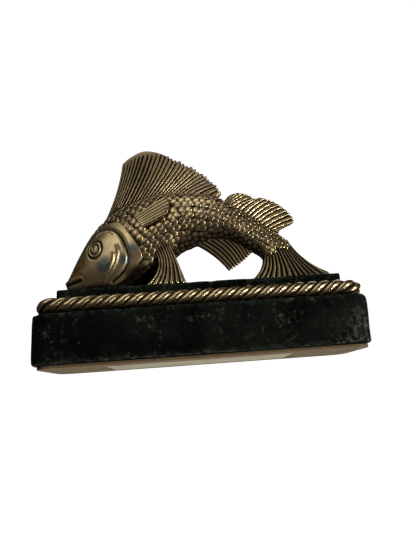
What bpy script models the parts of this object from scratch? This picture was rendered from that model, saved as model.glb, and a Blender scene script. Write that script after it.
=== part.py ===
"""A cast brass fish that stands on its fins on a stepped stone base.

Metres, +Z up. The origin is the bottom centre of the base pad. +X runs from the head to the tail, and -Y is
the side that the fish shows. Two studs hold the casting, the upper plate and the lower block together, and a
rope of three brass strands lies on the block around the plate.
"""

import math

import bmesh
import bpy
import numpy as np

# Lower block and what lies under it
BLOCK_LENGTH = 0.130
BLOCK_DEPTH = 0.040
BLOCK_HEIGHT = 0.0188
BLOCK_CORNER = 0.008
BLOCK_EDGE = 0.0008
PAD_THICKNESS = 0.0012
PAD_INSET = 0.0022
PAD_EDGE = 0.0002
LABEL_LENGTH = 0.073
LABEL_DEPTH = 0.0245
LABEL_THICKNESS = 0.0004
LABEL_CENTRE = (-0.0017, 0.0022)
LABEL_SETBACK = 0.0001

# Rope border: distance over the strands' crowns, diameters to one full turn, and where it lies on the block
ROPE_DIAMETER = 0.0060
ROPE_LAY_RATIO = 2.45
ROPE_END_SETBACK = 0.0011
ROPE_SIDE_SETBACK = 0.0006
ROPE_STRANDS = 3

# Upper plate, which fills the rope
PLATE_THICKNESS = 0.0091
PLATE_CORNER = 0.0015
PLATE_EDGE = 0.0006
PLATE_END_CLEARANCE = 0.0015
PLATE_SIDE_CLEARANCE = 0.0003

# Fish
FISH_LENGTH = 0.1120
PECTORAL_THICKNESS = 0.0011
RIB_DEPTH = 0.00035

# Fasteners
STUD_DIAMETER = 0.0040
STUD_ENGAGEMENT = 0.0095
STUD_TAIL = 0.0010
STUD_CHAMFER = 0.0004
NUT_WALL = 0.0015
NUT_HEIGHT = 0.0032
WASHER_RIM = 0.0025
WASHER_THICKNESS = 0.0008
BOSS_WALL = 0.0016
COUNTERBORE_CLEARANCE = 0.0006
COUNTERBORE_SPARE = 0.0010

# Clearances between pieces that touch
SEAT = 0.0003
STRAND_CLEARANCE = 0.0004
BORE_CLEARANCE = 0.0003
ROPE_JOINT = 0.0006

# Facets
RING_SIDES = 24
BODY_SECTIONS = 26
FIN_ROWS = 4
CORNER_STEPS = 6
STRAND_SIDES = 6
STRAND_STEPS_PER_TURN = 9
ROUND_SIDES = 24

# Heights of the stack, from the pad up
BLOCK_BOTTOM = PAD_THICKNESS + SEAT
BLOCK_TOP = BLOCK_BOTTOM + BLOCK_HEIGHT
PLATE_BOTTOM = BLOCK_TOP + SEAT
PLATE_TOP = PLATE_BOTTOM + PLATE_THICKNESS
FISH_FOOT = PLATE_TOP + SEAT
ROPE_AXIS_HEIGHT = BLOCK_TOP + SEAT + ROPE_DIAMETER / 2
ROPE_LAY = ROPE_DIAMETER * ROPE_LAY_RATIO

# The fish is drawn in millimetres: x along the base, y across it, h above the foot.
DRAWN_LENGTH = 112.0
DRAWN_MM = FISH_LENGTH / DRAWN_LENGTH
HEAD_STUD_X = -31.0
TAIL_STUD_X = 36.0

# Body sections from the snout to the tail root: back x, h; belly x, h; half width
BODY = (
    (-55.6, 5.8, -55.2, 4.2, 1.4),
    (-54.2, 7.4, -52.8, 3.9, 2.6),
    (-50.1, 16.2, -47.3, 2.6, 4.8),
    (-45.4, 24.8, -41.3, 1.4, 7.0),
    (-40.7, 31.0, -35.0, 1.0, 8.6),
    (-34.2, 36.8, -28.0, 1.6, 9.5),
    (-26.3, 40.7, -21.5, 4.8, 10.0),
    (-16.0, 43.6, -14.4, 11.2, 10.0),
    (-4.7, 44.1, -6.5, 17.9, 9.6),
    (5.6, 42.7, 3.0, 21.4, 8.8),
    (11.6, 40.4, 9.0, 22.3, 7.9),
    (19.0, 35.4, 15.0, 21.2, 6.8),
    (26.1, 29.4, 20.3, 18.4, 5.8),
    (32.7, 24.9, 24.9, 15.5, 5.0),
    (38.0, 20.9, 27.2, 14.0, 4.5),
    (41.0, 16.8, 27.9, 13.0, 4.2),
)

# Each fin: root line inside the body, outer edge, how far the first and last rib bow sideways, ribs, the
# half thickness at the root and at the edge, and how much of it is lost at the first and last rib
FINS = {
    "first_dorsal_fin": dict(
        root=((-40.8, 0, 29.5), (-33.5, 0, 35.2), (-25.5, 0, 39.0), (-15.5, 0, 42.0), (-4.5, 0, 42.6),
              (5.0, 0, 41.0), (10.8, 0, 38.8)),
        edge=((-31.3, 0, 61.2), (-27.2, 0, 64.6), (-21.5, 0, 67.2), (-14.5, 0, 65.9), (-5.5, 0, 61.2),
              (2.5, 0, 56.0), (8.3, 0, 50.1), (12.6, 0, 44.4)),
        bow=((1.6, 0, 0), (-0.6, 0, 0.4)), ribs=28, half=(1.9, 0.7),
    ),
    "second_dorsal_fin": dict(
        root=((13.0, 0, 38.0), (19.0, 0, 33.2), (25.5, 0, 27.6), (31.5, 0, 23.4), (36.0, 0, 20.6)),
        edge=((24.3, 0, 43.0), (28.6, 0, 40.9), (32.6, 0, 40.8), (37.0, 0, 38.2), (41.2, 0, 34.3),
              (43.9, 0, 31.0), (43.7, 0, 28.6), (41.6, 0, 26.4)),
        bow=((-0.8, 0, 2.6), (0.4, 0, -0.4)), ribs=14, half=(1.7, 0.7),
    ),
    "anal_fin": dict(
        root=((-2.0, 0, 21.6), (5.5, 0, 24.4), (13.0, 0, 24.0), (19.5, 0, 21.2), (24.2, 0, 18.2)),
        edge=((13.0, 0, 7.6), (15.2, 0, 8.8), (18.5, 0, 10.8), (21.5, 0, 13.2), (24.6, 0, 15.6)),
        bow=((0.9, 0, 0.9), (0.6, 0, 0.4)), ribs=9, half=(1.7, 0.8),
    ),
    "left_pelvic_fin": dict(
        root=((-19.6, -6.0, 21.5), (-15.8, -6.2, 22.6), (-12.0, -6.0, 22.0)),
        edge=((-21.8, -10.4, 0), (-14.0, -11.2, 0), (-5.6, -10.4, 0)),
        bow=((3.6, 0.5, 0), (0.5, 0.5, 0)), ribs=9, half=(2.1, 1.2),
    ),
    "right_pelvic_fin": dict(
        root=((-19.6, 6.0, 21.5), (-15.8, 6.2, 22.6), (-12.0, 6.0, 22.0)),
        edge=((-21.8, 10.4, 0), (-14.0, 11.2, 0), (-5.6, 10.4, 0)),
        bow=((3.6, -0.5, 0), (0.5, -0.5, 0)), ribs=9, half=(2.1, 1.2),
    ),
    "tail_fin": dict(
        root=((28.6, 0, 15.4), (34.5, 0, 16.8), (40.2, 0, 18.4)),
        edge=((19.0, 0, 0), (30.0, 0, 0), (42.0, 0, 0), (51.0, 0, 0), (55.4, 0, 1.2), (56.4, 0, 4.3)),
        bow=((4.2, 0, -0.2), (-2.2, 0, -1.3)), ribs=15, half=(4.0, 3.9), thin_sides=0.55,
    ),
}

# Pectoral fin as it lies on the flank: root end, tip end, both x, h, and its ribs
PECTORAL_ROOT = ((-26.0, 29.4), (-24.6, 27.3), (-22.6, 25.8))
PECTORAL_TIP = ((-12.6, 39.8), (-10.9, 37.6), (-10.8, 34.6), (-12.8, 31.8))
PECTORAL_RIBS = 8
PECTORAL_LIFT = 0.4

BRASS = ((0.40, 0.33, 0.17), 0.32, 1.0)
STONE = ((0.030, 0.034, 0.030), 0.35, 0.0)
FELT = ((0.150, 0.110, 0.065), 0.95, 0.0)
PAPER = ((0.360, 0.340, 0.240), 0.85, 0.0)
STEEL = ((0.50, 0.50, 0.48), 0.35, 1.0)


def clear_scene():
    for old in list(bpy.data.objects):
        bpy.data.objects.remove(old, do_unlink=True)


def finish(name, look):
    """A Principled material of one colour, roughness and metallic value."""
    colour, roughness, metallic = look
    material = bpy.data.materials.new(name + "_finish")
    material.use_nodes = True
    shader = material.node_tree.nodes["Principled BSDF"]
    shader.inputs["Base Color"].default_value = (*colour, 1.0)
    shader.inputs["Roughness"].default_value = roughness
    shader.inputs["Metallic"].default_value = metallic
    return material


def add_object(name, bm, look, smooth_angle=40.0):
    """Put a bmesh into the scene as a named object."""
    bmesh.ops.recalc_face_normals(bm, faces=bm.faces)
    mesh = bpy.data.meshes.new(name)
    bm.to_mesh(mesh)
    bm.free()
    mesh.shade_smooth()
    mesh.set_sharp_from_angle(angle=math.radians(smooth_angle))
    mesh.materials.append(finish(name, look))
    piece = bpy.data.objects.new(name, mesh)
    bpy.context.scene.collection.objects.link(piece)
    return piece


def as_guide(piece):
    """Mark a solid that only adds to or cuts another one."""
    piece.hide_render = True
    piece.display_type = "WIRE"
    return piece


def combine(piece, tool, operation):
    step = piece.modifiers.new(operation.lower() + "_" + tool.name, "BOOLEAN")
    step.operation = operation
    step.solver = "EXACT"
    step.object = as_guide(tool)


def loft(rings, ladder_caps=False):
    """A closed solid through rings of equal length. A ring runs down one side and back up the other where the
    caps are ladders of quads, which follow a curved end; otherwise each cap is one flat face."""
    bm = bmesh.new()
    loops = [[bm.verts.new(point) for point in ring] for ring in rings]
    for near, far in zip(loops, loops[1:]):
        for i in range(len(near)):
            j = (i + 1) % len(near)
            bm.faces.new((near[i], near[j], far[j], far[i]))
    for end in (loops[0], loops[-1]):
        if not ladder_caps:
            bm.faces.new(end)
            continue
        for i in range(len(end) // 2 - 1):
            bm.faces.new((end[i], end[i + 1], end[-i - 2], end[-i - 1]))
    return bm


# ---------------------------------------------------------------- base


def rounded_rectangle(half_x, half_y, corner, z, centre=(0.0, 0.0)):
    """Points of a rectangle with round corners, counter-clockwise, at one height."""
    points = []
    for turn, (sx, sy) in enumerate(((1, 1), (-1, 1), (-1, -1), (1, -1))):
        for k in range(CORNER_STEPS + 1):
            angle = math.radians(90) * (turn + k / CORNER_STEPS)
            points.append((
                centre[0] + sx * (half_x - corner) + corner * math.cos(angle),
                centre[1] + sy * (half_y - corner) + corner * math.sin(angle),
                z,
            ))
    return points


def slab(name, half_x, half_y, corner, bottom, top, edge, look, centre=(0.0, 0.0)):
    """A flat piece with round corners and a narrow chamfer along its top and bottom edges."""
    inner = (half_x - edge, half_y - edge, corner - edge)
    outer = (half_x, half_y, corner)
    heights = ((inner, bottom), (outer, bottom + edge), (outer, top - edge), (inner, top))
    rings = [rounded_rectangle(*size, z, centre) for size, z in heights]
    return add_object(name, loft(rings), look)


def turned(name, profile, look, sides=ROUND_SIDES, at=0.0):
    """A solid turned about a vertical axis at x = at, from (radius, z) pairs, bottom to top."""
    rings = []
    for radius, z in profile:
        ring = []
        for k in range(sides):
            angle = math.tau * k / sides
            ring.append((at + radius * math.cos(angle), radius * math.sin(angle), z))
        rings.append(ring)
    return add_object(name, loft(rings), look)


def stud_places():
    return {"head": HEAD_STUD_X * DRAWN_MM, "tail": TAIL_STUD_X * DRAWN_MM}


def bore(name, at, radius, bottom, top):
    return turned(name, ((radius, bottom), (radius, top)), STEEL, at=at)


def counterbore_depth():
    hardware = WASHER_THICKNESS + NUT_HEIGHT + 2 * SEAT
    return hardware + STUD_TAIL + COUNTERBORE_SPARE


def make_block():
    block = slab("lower_block", BLOCK_LENGTH / 2, BLOCK_DEPTH / 2, BLOCK_CORNER, BLOCK_BOTTOM, BLOCK_TOP,
                 BLOCK_EDGE, STONE)
    past = BLOCK_EDGE
    ceiling = BLOCK_BOTTOM + counterbore_depth()
    pocket_radius = STUD_DIAMETER / 2 + WASHER_RIM + COUNTERBORE_CLEARANCE
    for end, at in stud_places().items():
        hole = bore(end + "_block_bore", at, STUD_DIAMETER / 2 + BORE_CLEARANCE, BLOCK_BOTTOM - past,
                    BLOCK_TOP + past)
        pocket = bore(end + "_counterbore", at, pocket_radius, BLOCK_BOTTOM - past, ceiling)
        combine(block, hole, "DIFFERENCE")
        combine(block, pocket, "DIFFERENCE")


def plate_half_sizes():
    half_x = BLOCK_LENGTH / 2 - ROPE_END_SETBACK - ROPE_DIAMETER - PLATE_END_CLEARANCE
    half_y = BLOCK_DEPTH / 2 - ROPE_SIDE_SETBACK - ROPE_DIAMETER - PLATE_SIDE_CLEARANCE
    return half_x, half_y


def make_plate():
    half_x, half_y = plate_half_sizes()
    plate = slab("upper_plate", half_x, half_y, PLATE_CORNER, PLATE_BOTTOM, PLATE_TOP, PLATE_EDGE, STONE)
    past = PLATE_EDGE
    for end, at in stud_places().items():
        hole = bore(end + "_plate_bore", at, STUD_DIAMETER / 2 + BORE_CLEARANCE, PLATE_BOTTOM - past,
                    PLATE_TOP + past)
        combine(plate, hole, "DIFFERENCE")


def make_pad_and_label():
    pad_half_x, pad_half_y = BLOCK_LENGTH / 2 - PAD_INSET, BLOCK_DEPTH / 2 - PAD_INSET
    pad = slab("base_pad", pad_half_x, pad_half_y, BLOCK_CORNER - PAD_INSET, 0.0, PAD_THICKNESS, PAD_EDGE,
               FELT)
    label_top = LABEL_SETBACK + LABEL_THICKNESS
    half_x, half_y = LABEL_LENGTH / 2, LABEL_DEPTH / 2
    corner = LABEL_THICKNESS
    slab("paper_label", half_x, half_y, corner, LABEL_SETBACK, label_top, LABEL_SETBACK, PAPER,
         LABEL_CENTRE)
    recess = slab("label_recess", half_x + SEAT, half_y + SEAT, corner + SEAT, -PAD_EDGE, label_top + SEAT,
                  PAD_EDGE / 2, PAPER, LABEL_CENTRE)
    combine(pad, recess, "DIFFERENCE")


def make_fasteners():
    radius = STUD_DIAMETER / 2
    bore_radius = radius + BORE_CLEARANCE
    ceiling = BLOCK_BOTTOM + counterbore_depth()
    washer_top = ceiling - SEAT
    washer_bottom = washer_top - WASHER_THICKNESS
    nut_top = washer_bottom - SEAT
    nut_bottom = nut_top - NUT_HEIGHT
    stud_bottom = nut_bottom - STUD_TAIL
    stud_top = FISH_FOOT + STUD_ENGAGEMENT
    for end, at in stud_places().items():
        turned(end + "_stud", (
            (radius - STUD_CHAMFER, stud_bottom),
            (radius, stud_bottom + STUD_CHAMFER),
            (radius, stud_top - STUD_CHAMFER),
            (radius - STUD_CHAMFER, stud_top),
        ), STEEL, at=at)
        rim = radius + WASHER_RIM
        washer = turned(end + "_washer", ((rim, washer_bottom), (rim, washer_top)), STEEL, at=at)
        corner_radius = (radius + NUT_WALL) / math.cos(math.radians(30))
        nut = turned(end + "_nut", ((corner_radius, nut_bottom), (corner_radius, nut_top)), STEEL,
                     sides=6, at=at)
        for piece in (washer, nut):
            hole = bore(piece.name + "_bore", at, bore_radius, stud_bottom, ceiling)
            combine(piece, hole, "DIFFERENCE")


# ---------------------------------------------------------------- rope


def rope_path_sizes():
    radius = ROPE_DIAMETER / 2
    half_x = BLOCK_LENGTH / 2 - ROPE_END_SETBACK - radius
    half_y = BLOCK_DEPTH / 2 - ROPE_SIDE_SETBACK - radius
    corner = PLATE_CORNER + PLATE_SIDE_CLEARANCE + radius
    return half_x, half_y, corner


def rope_path_length():
    half_x, half_y, corner = rope_path_sizes()
    return 4 * (half_x + half_y) - 8 * corner + math.tau * corner


def rope_path(distance):
    """Point and outward normal at a distance along the rope's axis, from the middle of the back, running
    counter-clockwise seen from above."""
    half_x, half_y, corner = rope_path_sizes()
    flat_x, flat_y = half_x - corner, half_y - corner
    quarter = math.radians(90) * corner
    stretches = (
        (flat_x, (0, half_y), (-1, 0)), (quarter, (-flat_x, flat_y), 90),
        (2 * flat_y, (-half_x, flat_y), (0, -1)), (quarter, (-flat_x, -flat_y), 180),
        (2 * flat_x, (-flat_x, -half_y), (1, 0)), (quarter, (flat_x, -flat_y), 270),
        (2 * flat_y, (half_x, -flat_y), (0, 1)), (quarter, (flat_x, flat_y), 360),
        (flat_x, (flat_x, half_y), (-1, 0)),
    )
    for length, start, way in stretches:
        if distance <= length or (length, start, way) == stretches[-1]:
            break
        distance -= length
    if isinstance(way, tuple):
        point = np.array((start[0] + way[0] * distance, start[1] + way[1] * distance))
        normal = np.array((way[1], -way[0]), float)
    else:
        angle = math.radians(way) + distance / corner
        normal = np.array((math.cos(angle), math.sin(angle)))
        point = np.array(start) + corner * normal
    return point, normal


def strand_spacing(coil_radius):
    """Least distance between the axes of two neighbouring strands."""
    shift = np.linspace(0.0, math.tau / ROPE_STRANDS, 200)
    across = 2 * coil_radius**2 * (1 - np.cos(math.tau / ROPE_STRANDS - shift))
    along = (ROPE_LAY * shift / math.tau) ** 2
    return float(np.sqrt(across + along).min())


def strand_radius():
    """The thickest strand that leaves the strand clearance to its neighbours."""
    thin, thick = 0.0, ROPE_DIAMETER / 2
    for _ in range(40):
        middle = (thin + thick) / 2
        room = strand_spacing(ROPE_DIAMETER / 2 - middle) - STRAND_CLEARANCE
        if 2 * middle < room:
            thin = middle
        else:
            thick = middle
    return thin


def make_rope():
    length = rope_path_length()
    turns = round(length / ROPE_LAY)
    radius = strand_radius()
    coil_radius = ROPE_DIAMETER / 2 - radius
    steps = turns * STRAND_STEPS_PER_TURN
    for strand in range(ROPE_STRANDS):
        start_angle = math.tau * strand / ROPE_STRANDS

        def strand_axis(distance):
            point, normal = rope_path(distance)
            angle = start_angle + math.tau * turns * distance / length
            radial = np.array((*(normal * math.cos(angle)), math.sin(angle)))
            centre = np.array((*point, ROPE_AXIS_HEIGHT)) + coil_radius * radial
            return centre, radial

        rings = []
        for step in range(steps + 1):
            distance = ROPE_JOINT / 2 + (length - ROPE_JOINT) * step / steps
            centre, radial = strand_axis(distance)
            ahead = strand_axis(min(distance + ROPE_JOINT / 4, length))[0]
            behind = strand_axis(max(distance - ROPE_JOINT / 4, 0.0))[0]
            along = (ahead - behind) / np.linalg.norm(ahead - behind)
            out = radial - along * np.dot(radial, along)
            out /= np.linalg.norm(out)
            side = np.cross(along, out)
            ring = []
            for k in range(STRAND_SIDES):
                angle = math.tau * k / STRAND_SIDES
                ring.append(centre + radius * (out * math.cos(angle) + side * math.sin(angle)))
            rings.append(ring)
        add_object("rope_strand_%d" % (strand + 1), loft(rings), BRASS, smooth_angle=75.0)


# ---------------------------------------------------------------- fish


def smooth_curve(controls, count):
    """Points at even spacing on a Catmull-Rom curve through the controls."""
    knots = np.asarray(controls, float)
    padded = np.vstack((2 * knots[0] - knots[1], knots, 2 * knots[-1] - knots[-2]))
    fine = []
    for i in range(len(knots) - 1):
        p0, p1, p2, p3 = padded[i:i + 4]
        for t in np.linspace(0.0, 1.0, 25)[:-1]:
            fine.append(0.5 * (2 * p1 + (p2 - p0) * t + (2 * p0 - 5 * p1 + 4 * p2 - p3) * t**2
                               + (3 * p1 - p0 - 3 * p2 + p3) * t**3))
    fine.append(knots[-1])
    fine = np.array(fine)
    run = np.concatenate(([0.0], np.cumsum(np.linalg.norm(np.diff(fine, axis=0), axis=1))))
    wanted = np.linspace(0.0, run[-1], count)
    return np.column_stack([np.interp(wanted, run, fine[:, axis]) for axis in range(fine.shape[1])])


def placed(point):
    """A drawn point (x, y, h) in metres, on the plate."""
    x, y, h = point
    return (x * DRAWN_MM, y * DRAWN_MM, FISH_FOOT + h * DRAWN_MM)


def body_sections(count):
    return smooth_curve(BODY, count)


def make_body():
    rings = []
    for back_x, back_h, belly_x, belly_h, half_width in body_sections(BODY_SECTIONS):
        middle = ((back_x + belly_x) / 2, (back_h + belly_h) / 2)
        reach = ((back_x - belly_x) / 2, (back_h - belly_h) / 2)
        ring = []
        for k in range(RING_SIDES):
            angle = math.tau * k / RING_SIDES
            ring.append(placed((
                middle[0] + reach[0] * math.cos(angle),
                half_width * math.sin(angle),
                middle[1] + reach[1] * math.cos(angle),
            )))
        rings.append(ring)
    return add_object("fish_casting", loft(rings), BRASS)


def flank(x, h, sections):
    """Half width of the body at a drawn point x, h."""
    back, belly, half = sections[:, 0:2], sections[:, 2:4], sections[:, 4]
    reach = (back - belly) / 2
    offset = np.array((x, h)) - (back + belly) / 2
    side = reach[:, 0] * offset[:, 1] - reach[:, 1] * offset[:, 0]
    nearest = int(np.argmin(np.abs(side) / np.linalg.norm(reach, axis=1)))
    along = float(np.dot(offset[nearest], reach[nearest]) / np.dot(reach[nearest], reach[nearest]))
    return float(half[nearest]) * math.sqrt(max(0.0, 1 - along**2))


def ribbed_fin(name, root, edge, bow, ribs, half, thin_sides=0.0):
    """A fin whose ribs run from its root line to its edge, each standing out from the grooves beside it."""
    columns = 2 * ribs + 1
    root_line = smooth_curve(root, columns)
    edge_line = smooth_curve(edge, columns)
    first_bow, last_bow = np.array(bow[0], float), np.array(bow[1], float)
    rib_depth = RIB_DEPTH / DRAWN_MM
    across = np.array((0.0, 1.0, 0.0))
    rings = []
    for c in range(columns):
        share = c / (columns - 1)
        start, end = root_line[c], edge_line[c]
        sideways = first_bow * (1 - share) + last_bow * share
        groove = rib_depth if c % 2 == 0 and 0 < c < columns - 1 else 0.0
        fullness = 1 - thin_sides * (2 * share - 1) ** 2
        near, far = [], []
        for row in range(FIN_ROWS + 1):
            t = row / FIN_ROWS
            middle = start * (1 - t) + end * t + sideways * 4 * t * (1 - t)
            thickness = (half[0] * (1 - t) + half[1] * t) * fullness - groove
            near.append(placed(middle - across * thickness))
            far.append(placed(middle + across * thickness))
        rings.append(near + far[::-1])
    return add_object(name, loft(rings, ladder_caps=True), BRASS)


def make_fish():
    fish = make_body()
    for name, shape in FINS.items():
        combine(fish, ribbed_fin(name, **shape), "UNION")
    bore_radius = STUD_DIAMETER / 2 + BORE_CLEARANCE
    bore_top = FISH_FOOT + STUD_ENGAGEMENT + SEAT
    for end, at in stud_places().items():
        boss = bore(end + "_boss", at, bore_radius + BOSS_WALL, FISH_FOOT, bore_top + BOSS_WALL)
        combine(fish, boss, "UNION")
    for end, at in stud_places().items():
        hole = bore(end + "_fish_bore", at, bore_radius, FISH_FOOT - BOSS_WALL, bore_top)
        combine(fish, hole, "DIFFERENCE")


def make_pectoral_fins():
    columns = 2 * PECTORAL_RIBS + 1
    root_line = smooth_curve(PECTORAL_ROOT, columns)
    tip_line = smooth_curve(PECTORAL_TIP, columns)
    sections = body_sections(400)
    gap = SEAT / DRAWN_MM
    thickness = PECTORAL_THICKNESS / DRAWN_MM
    rib_depth = RIB_DEPTH / DRAWN_MM
    for side, sign in (("left", -1), ("right", 1)):
        rings = []
        for c in range(columns):
            groove = rib_depth if c % 2 == 0 and 0 < c < columns - 1 else 0.0
            inner, outer = [], []
            for row in range(FIN_ROWS + 1):
                t = row / FIN_ROWS
                x, h = root_line[c] * (1 - t) + tip_line[c] * t
                y = flank(x, h, sections) + gap + PECTORAL_LIFT * t
                inner.append(placed((x, sign * y, h)))
                outer.append(placed((x, sign * (y + thickness - groove), h)))
            rings.append(inner + outer[::-1])
        add_object("pectoral_fin_" + side, loft(rings, ladder_caps=True), BRASS)


def main():
    clear_scene()
    make_pad_and_label()
    make_block()
    make_plate()
    make_rope()
    make_fasteners()
    make_fish()
    make_pectoral_fins()


main()
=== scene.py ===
import math

import bmesh
import bpy
import numpy as np
from bpy.props import FloatProperty, FloatVectorProperty, IntProperty, PointerProperty
from mathutils import Matrix, Vector


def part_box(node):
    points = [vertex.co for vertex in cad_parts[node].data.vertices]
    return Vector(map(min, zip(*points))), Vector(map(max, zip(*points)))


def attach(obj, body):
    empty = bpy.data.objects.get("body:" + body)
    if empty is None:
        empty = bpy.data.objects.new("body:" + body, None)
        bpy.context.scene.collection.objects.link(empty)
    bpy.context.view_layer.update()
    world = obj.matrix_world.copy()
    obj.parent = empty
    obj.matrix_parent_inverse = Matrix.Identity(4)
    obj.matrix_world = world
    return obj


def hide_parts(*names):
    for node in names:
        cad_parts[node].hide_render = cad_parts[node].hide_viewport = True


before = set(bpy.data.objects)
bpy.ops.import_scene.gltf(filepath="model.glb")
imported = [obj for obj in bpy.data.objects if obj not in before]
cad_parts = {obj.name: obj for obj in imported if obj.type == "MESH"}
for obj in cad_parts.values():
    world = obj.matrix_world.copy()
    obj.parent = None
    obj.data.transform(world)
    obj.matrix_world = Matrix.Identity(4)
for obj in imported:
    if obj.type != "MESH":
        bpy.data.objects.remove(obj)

bl_info = {
    "name": "Fish figure on a stone base",
    "version": (1, 0, 0),
    "blender": (4, 5, 0),
    "location": "3D View > Sidebar > Fish figure",
    "description": "Makes the brass fish, its rope border, the stone base and a plain studio",
    "category": "Object",
}

BODY = "root"

# ---------------------------------------------------------------- places read from the frame

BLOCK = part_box("lower_block")
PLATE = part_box("upper_plate")
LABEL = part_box("paper_label")
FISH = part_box("fish_casting")
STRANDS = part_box("rope_strand_1")
FOOT = FISH[0].z
DRAWN_LENGTH = 112.0
MM = (FISH[1].x - FISH[0].x) / DRAWN_LENGTH

# The fish is drawn in millimetres: x along the base, y across it, h above the foot.
# Body sections from the snout to the tail root: back x, h; belly x, h; half width.
SECTIONS = (
    (-55.6, 5.8, -55.2, 4.2, 1.4),
    (-54.2, 7.4, -52.8, 3.9, 2.6),
    (-50.1, 16.2, -47.3, 2.6, 4.8),
    (-45.4, 24.8, -41.3, 1.4, 7.0),
    (-40.7, 31.0, -35.0, 1.0, 8.6),
    (-34.2, 36.8, -28.0, 1.6, 9.5),
    (-26.3, 40.7, -21.5, 4.8, 10.0),
    (-16.0, 43.6, -14.4, 11.2, 10.0),
    (-4.7, 44.1, -6.5, 17.9, 9.6),
    (5.6, 42.7, 3.0, 21.4, 8.8),
    (11.6, 40.4, 9.0, 22.3, 7.9),
    (19.0, 35.4, 15.0, 21.2, 6.8),
    (26.1, 29.4, 20.3, 18.4, 5.8),
    (32.7, 24.9, 24.9, 15.5, 5.0),
    (38.0, 20.9, 27.2, 14.0, 4.5),
    (41.0, 16.8, 27.9, 13.0, 4.2),
)

# Lines engraved or raised on each side of the head, as x, h
GILL_COVER_EDGE = (
    (-43.8, 26.2), (-40.8, 27.9), (-37.4, 29.2), (-34.7, 29.6), (-32.6, 29.3), (-30.6, 27.7), (-28.7, 25.2),
    (-27.0, 22.6), (-25.4, 19.9), (-24.0, 17.2), (-23.0, 14.9), (-22.9, 12.9), (-24.6, 10.8), (-26.8, 8.0),
    (-30.2, 5.4), (-34.0, 3.6))
CHEEK_GROOVE = (
    (-40.8, 26.8), (-37.4, 26.9), (-34.6, 25.7), (-32.5, 23.9), (-30.8, 21.5), (-29.8, 19.0), (-29.0, 16.3),
    (-28.4, 13.6), (-28.9, 11.0), (-30.4, 8.5), (-32.6, 6.3), (-35.4, 4.6))
CHEEK_FOLD = ((-33.1, 18.6), (-32.5, 16.6), (-32.6, 14.2), (-33.5, 11.6), (-35.0, 9.3), (-36.9, 7.1),
              (-39.0, 5.0))
INNER_FOLD = ((-34.3, 15.4), (-34.9, 12.4), (-36.3, 9.8), (-38.6, 7.2))
BROW = ((-41.2, 24.0), (-39.2, 24.9), (-37.0, 24.9), (-35.0, 23.9))
MOUTH = ((-56.2, 4.8), (-53.6, 5.2), (-51.4, 5.7), (-48.9, 6.3))
NOSTRIL = (-47.6, 15.6)
EYE_CENTRE = (-42.15, 17.9)
EYE_REACH = (2.95, 3.75)
EYE_TILT = math.radians(-18)
IRIS = 0.56
PUPIL_RADIUS = 0.75
# Each carved line: how far it stands out, how wide it is and how much patina it holds (below 0 is polish)
CARVING = (
    (CHEEK_GROOVE, -0.65, 0.62, 1.15),
    (CHEEK_FOLD, 0.42, 0.45, -0.1),
    (INNER_FOLD, 0.38, 0.45, -0.1),
    (BROW, -0.35, 0.28, 0.75),
    (MOUTH, -1.35, 0.52, 1.6),
)
# Thin creases that run beside the folds of the cheek, and how far along x each is shifted
CREASES = ((CHEEK_FOLD, 0.75), (CHEEK_FOLD, -0.6), (INNER_FOLD, -0.6))
# Share of the body that has the head's close rows of points
HEAD_SHARE = 0.42
# The shrinking rings that close the snout and the tail root: their turns, and how far the last one reaches
CLOSING_TURNS = np.radians((20, 40, 58, 74, 84))
CLOSING_REACH = 0.3


def on_middle(*pairs):
    """Drawn points x, h on the plane that halves the fish."""
    return tuple((x, 0.0, h) for x, h in pairs)


def mirrored(fin):
    """The same fin on the other side of the fish."""
    turned = {key: tuple((x, -y, h) for x, y, h in fin[key]) for key in ("root", "edge", "bow")}
    return {**fin, **turned}


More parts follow.
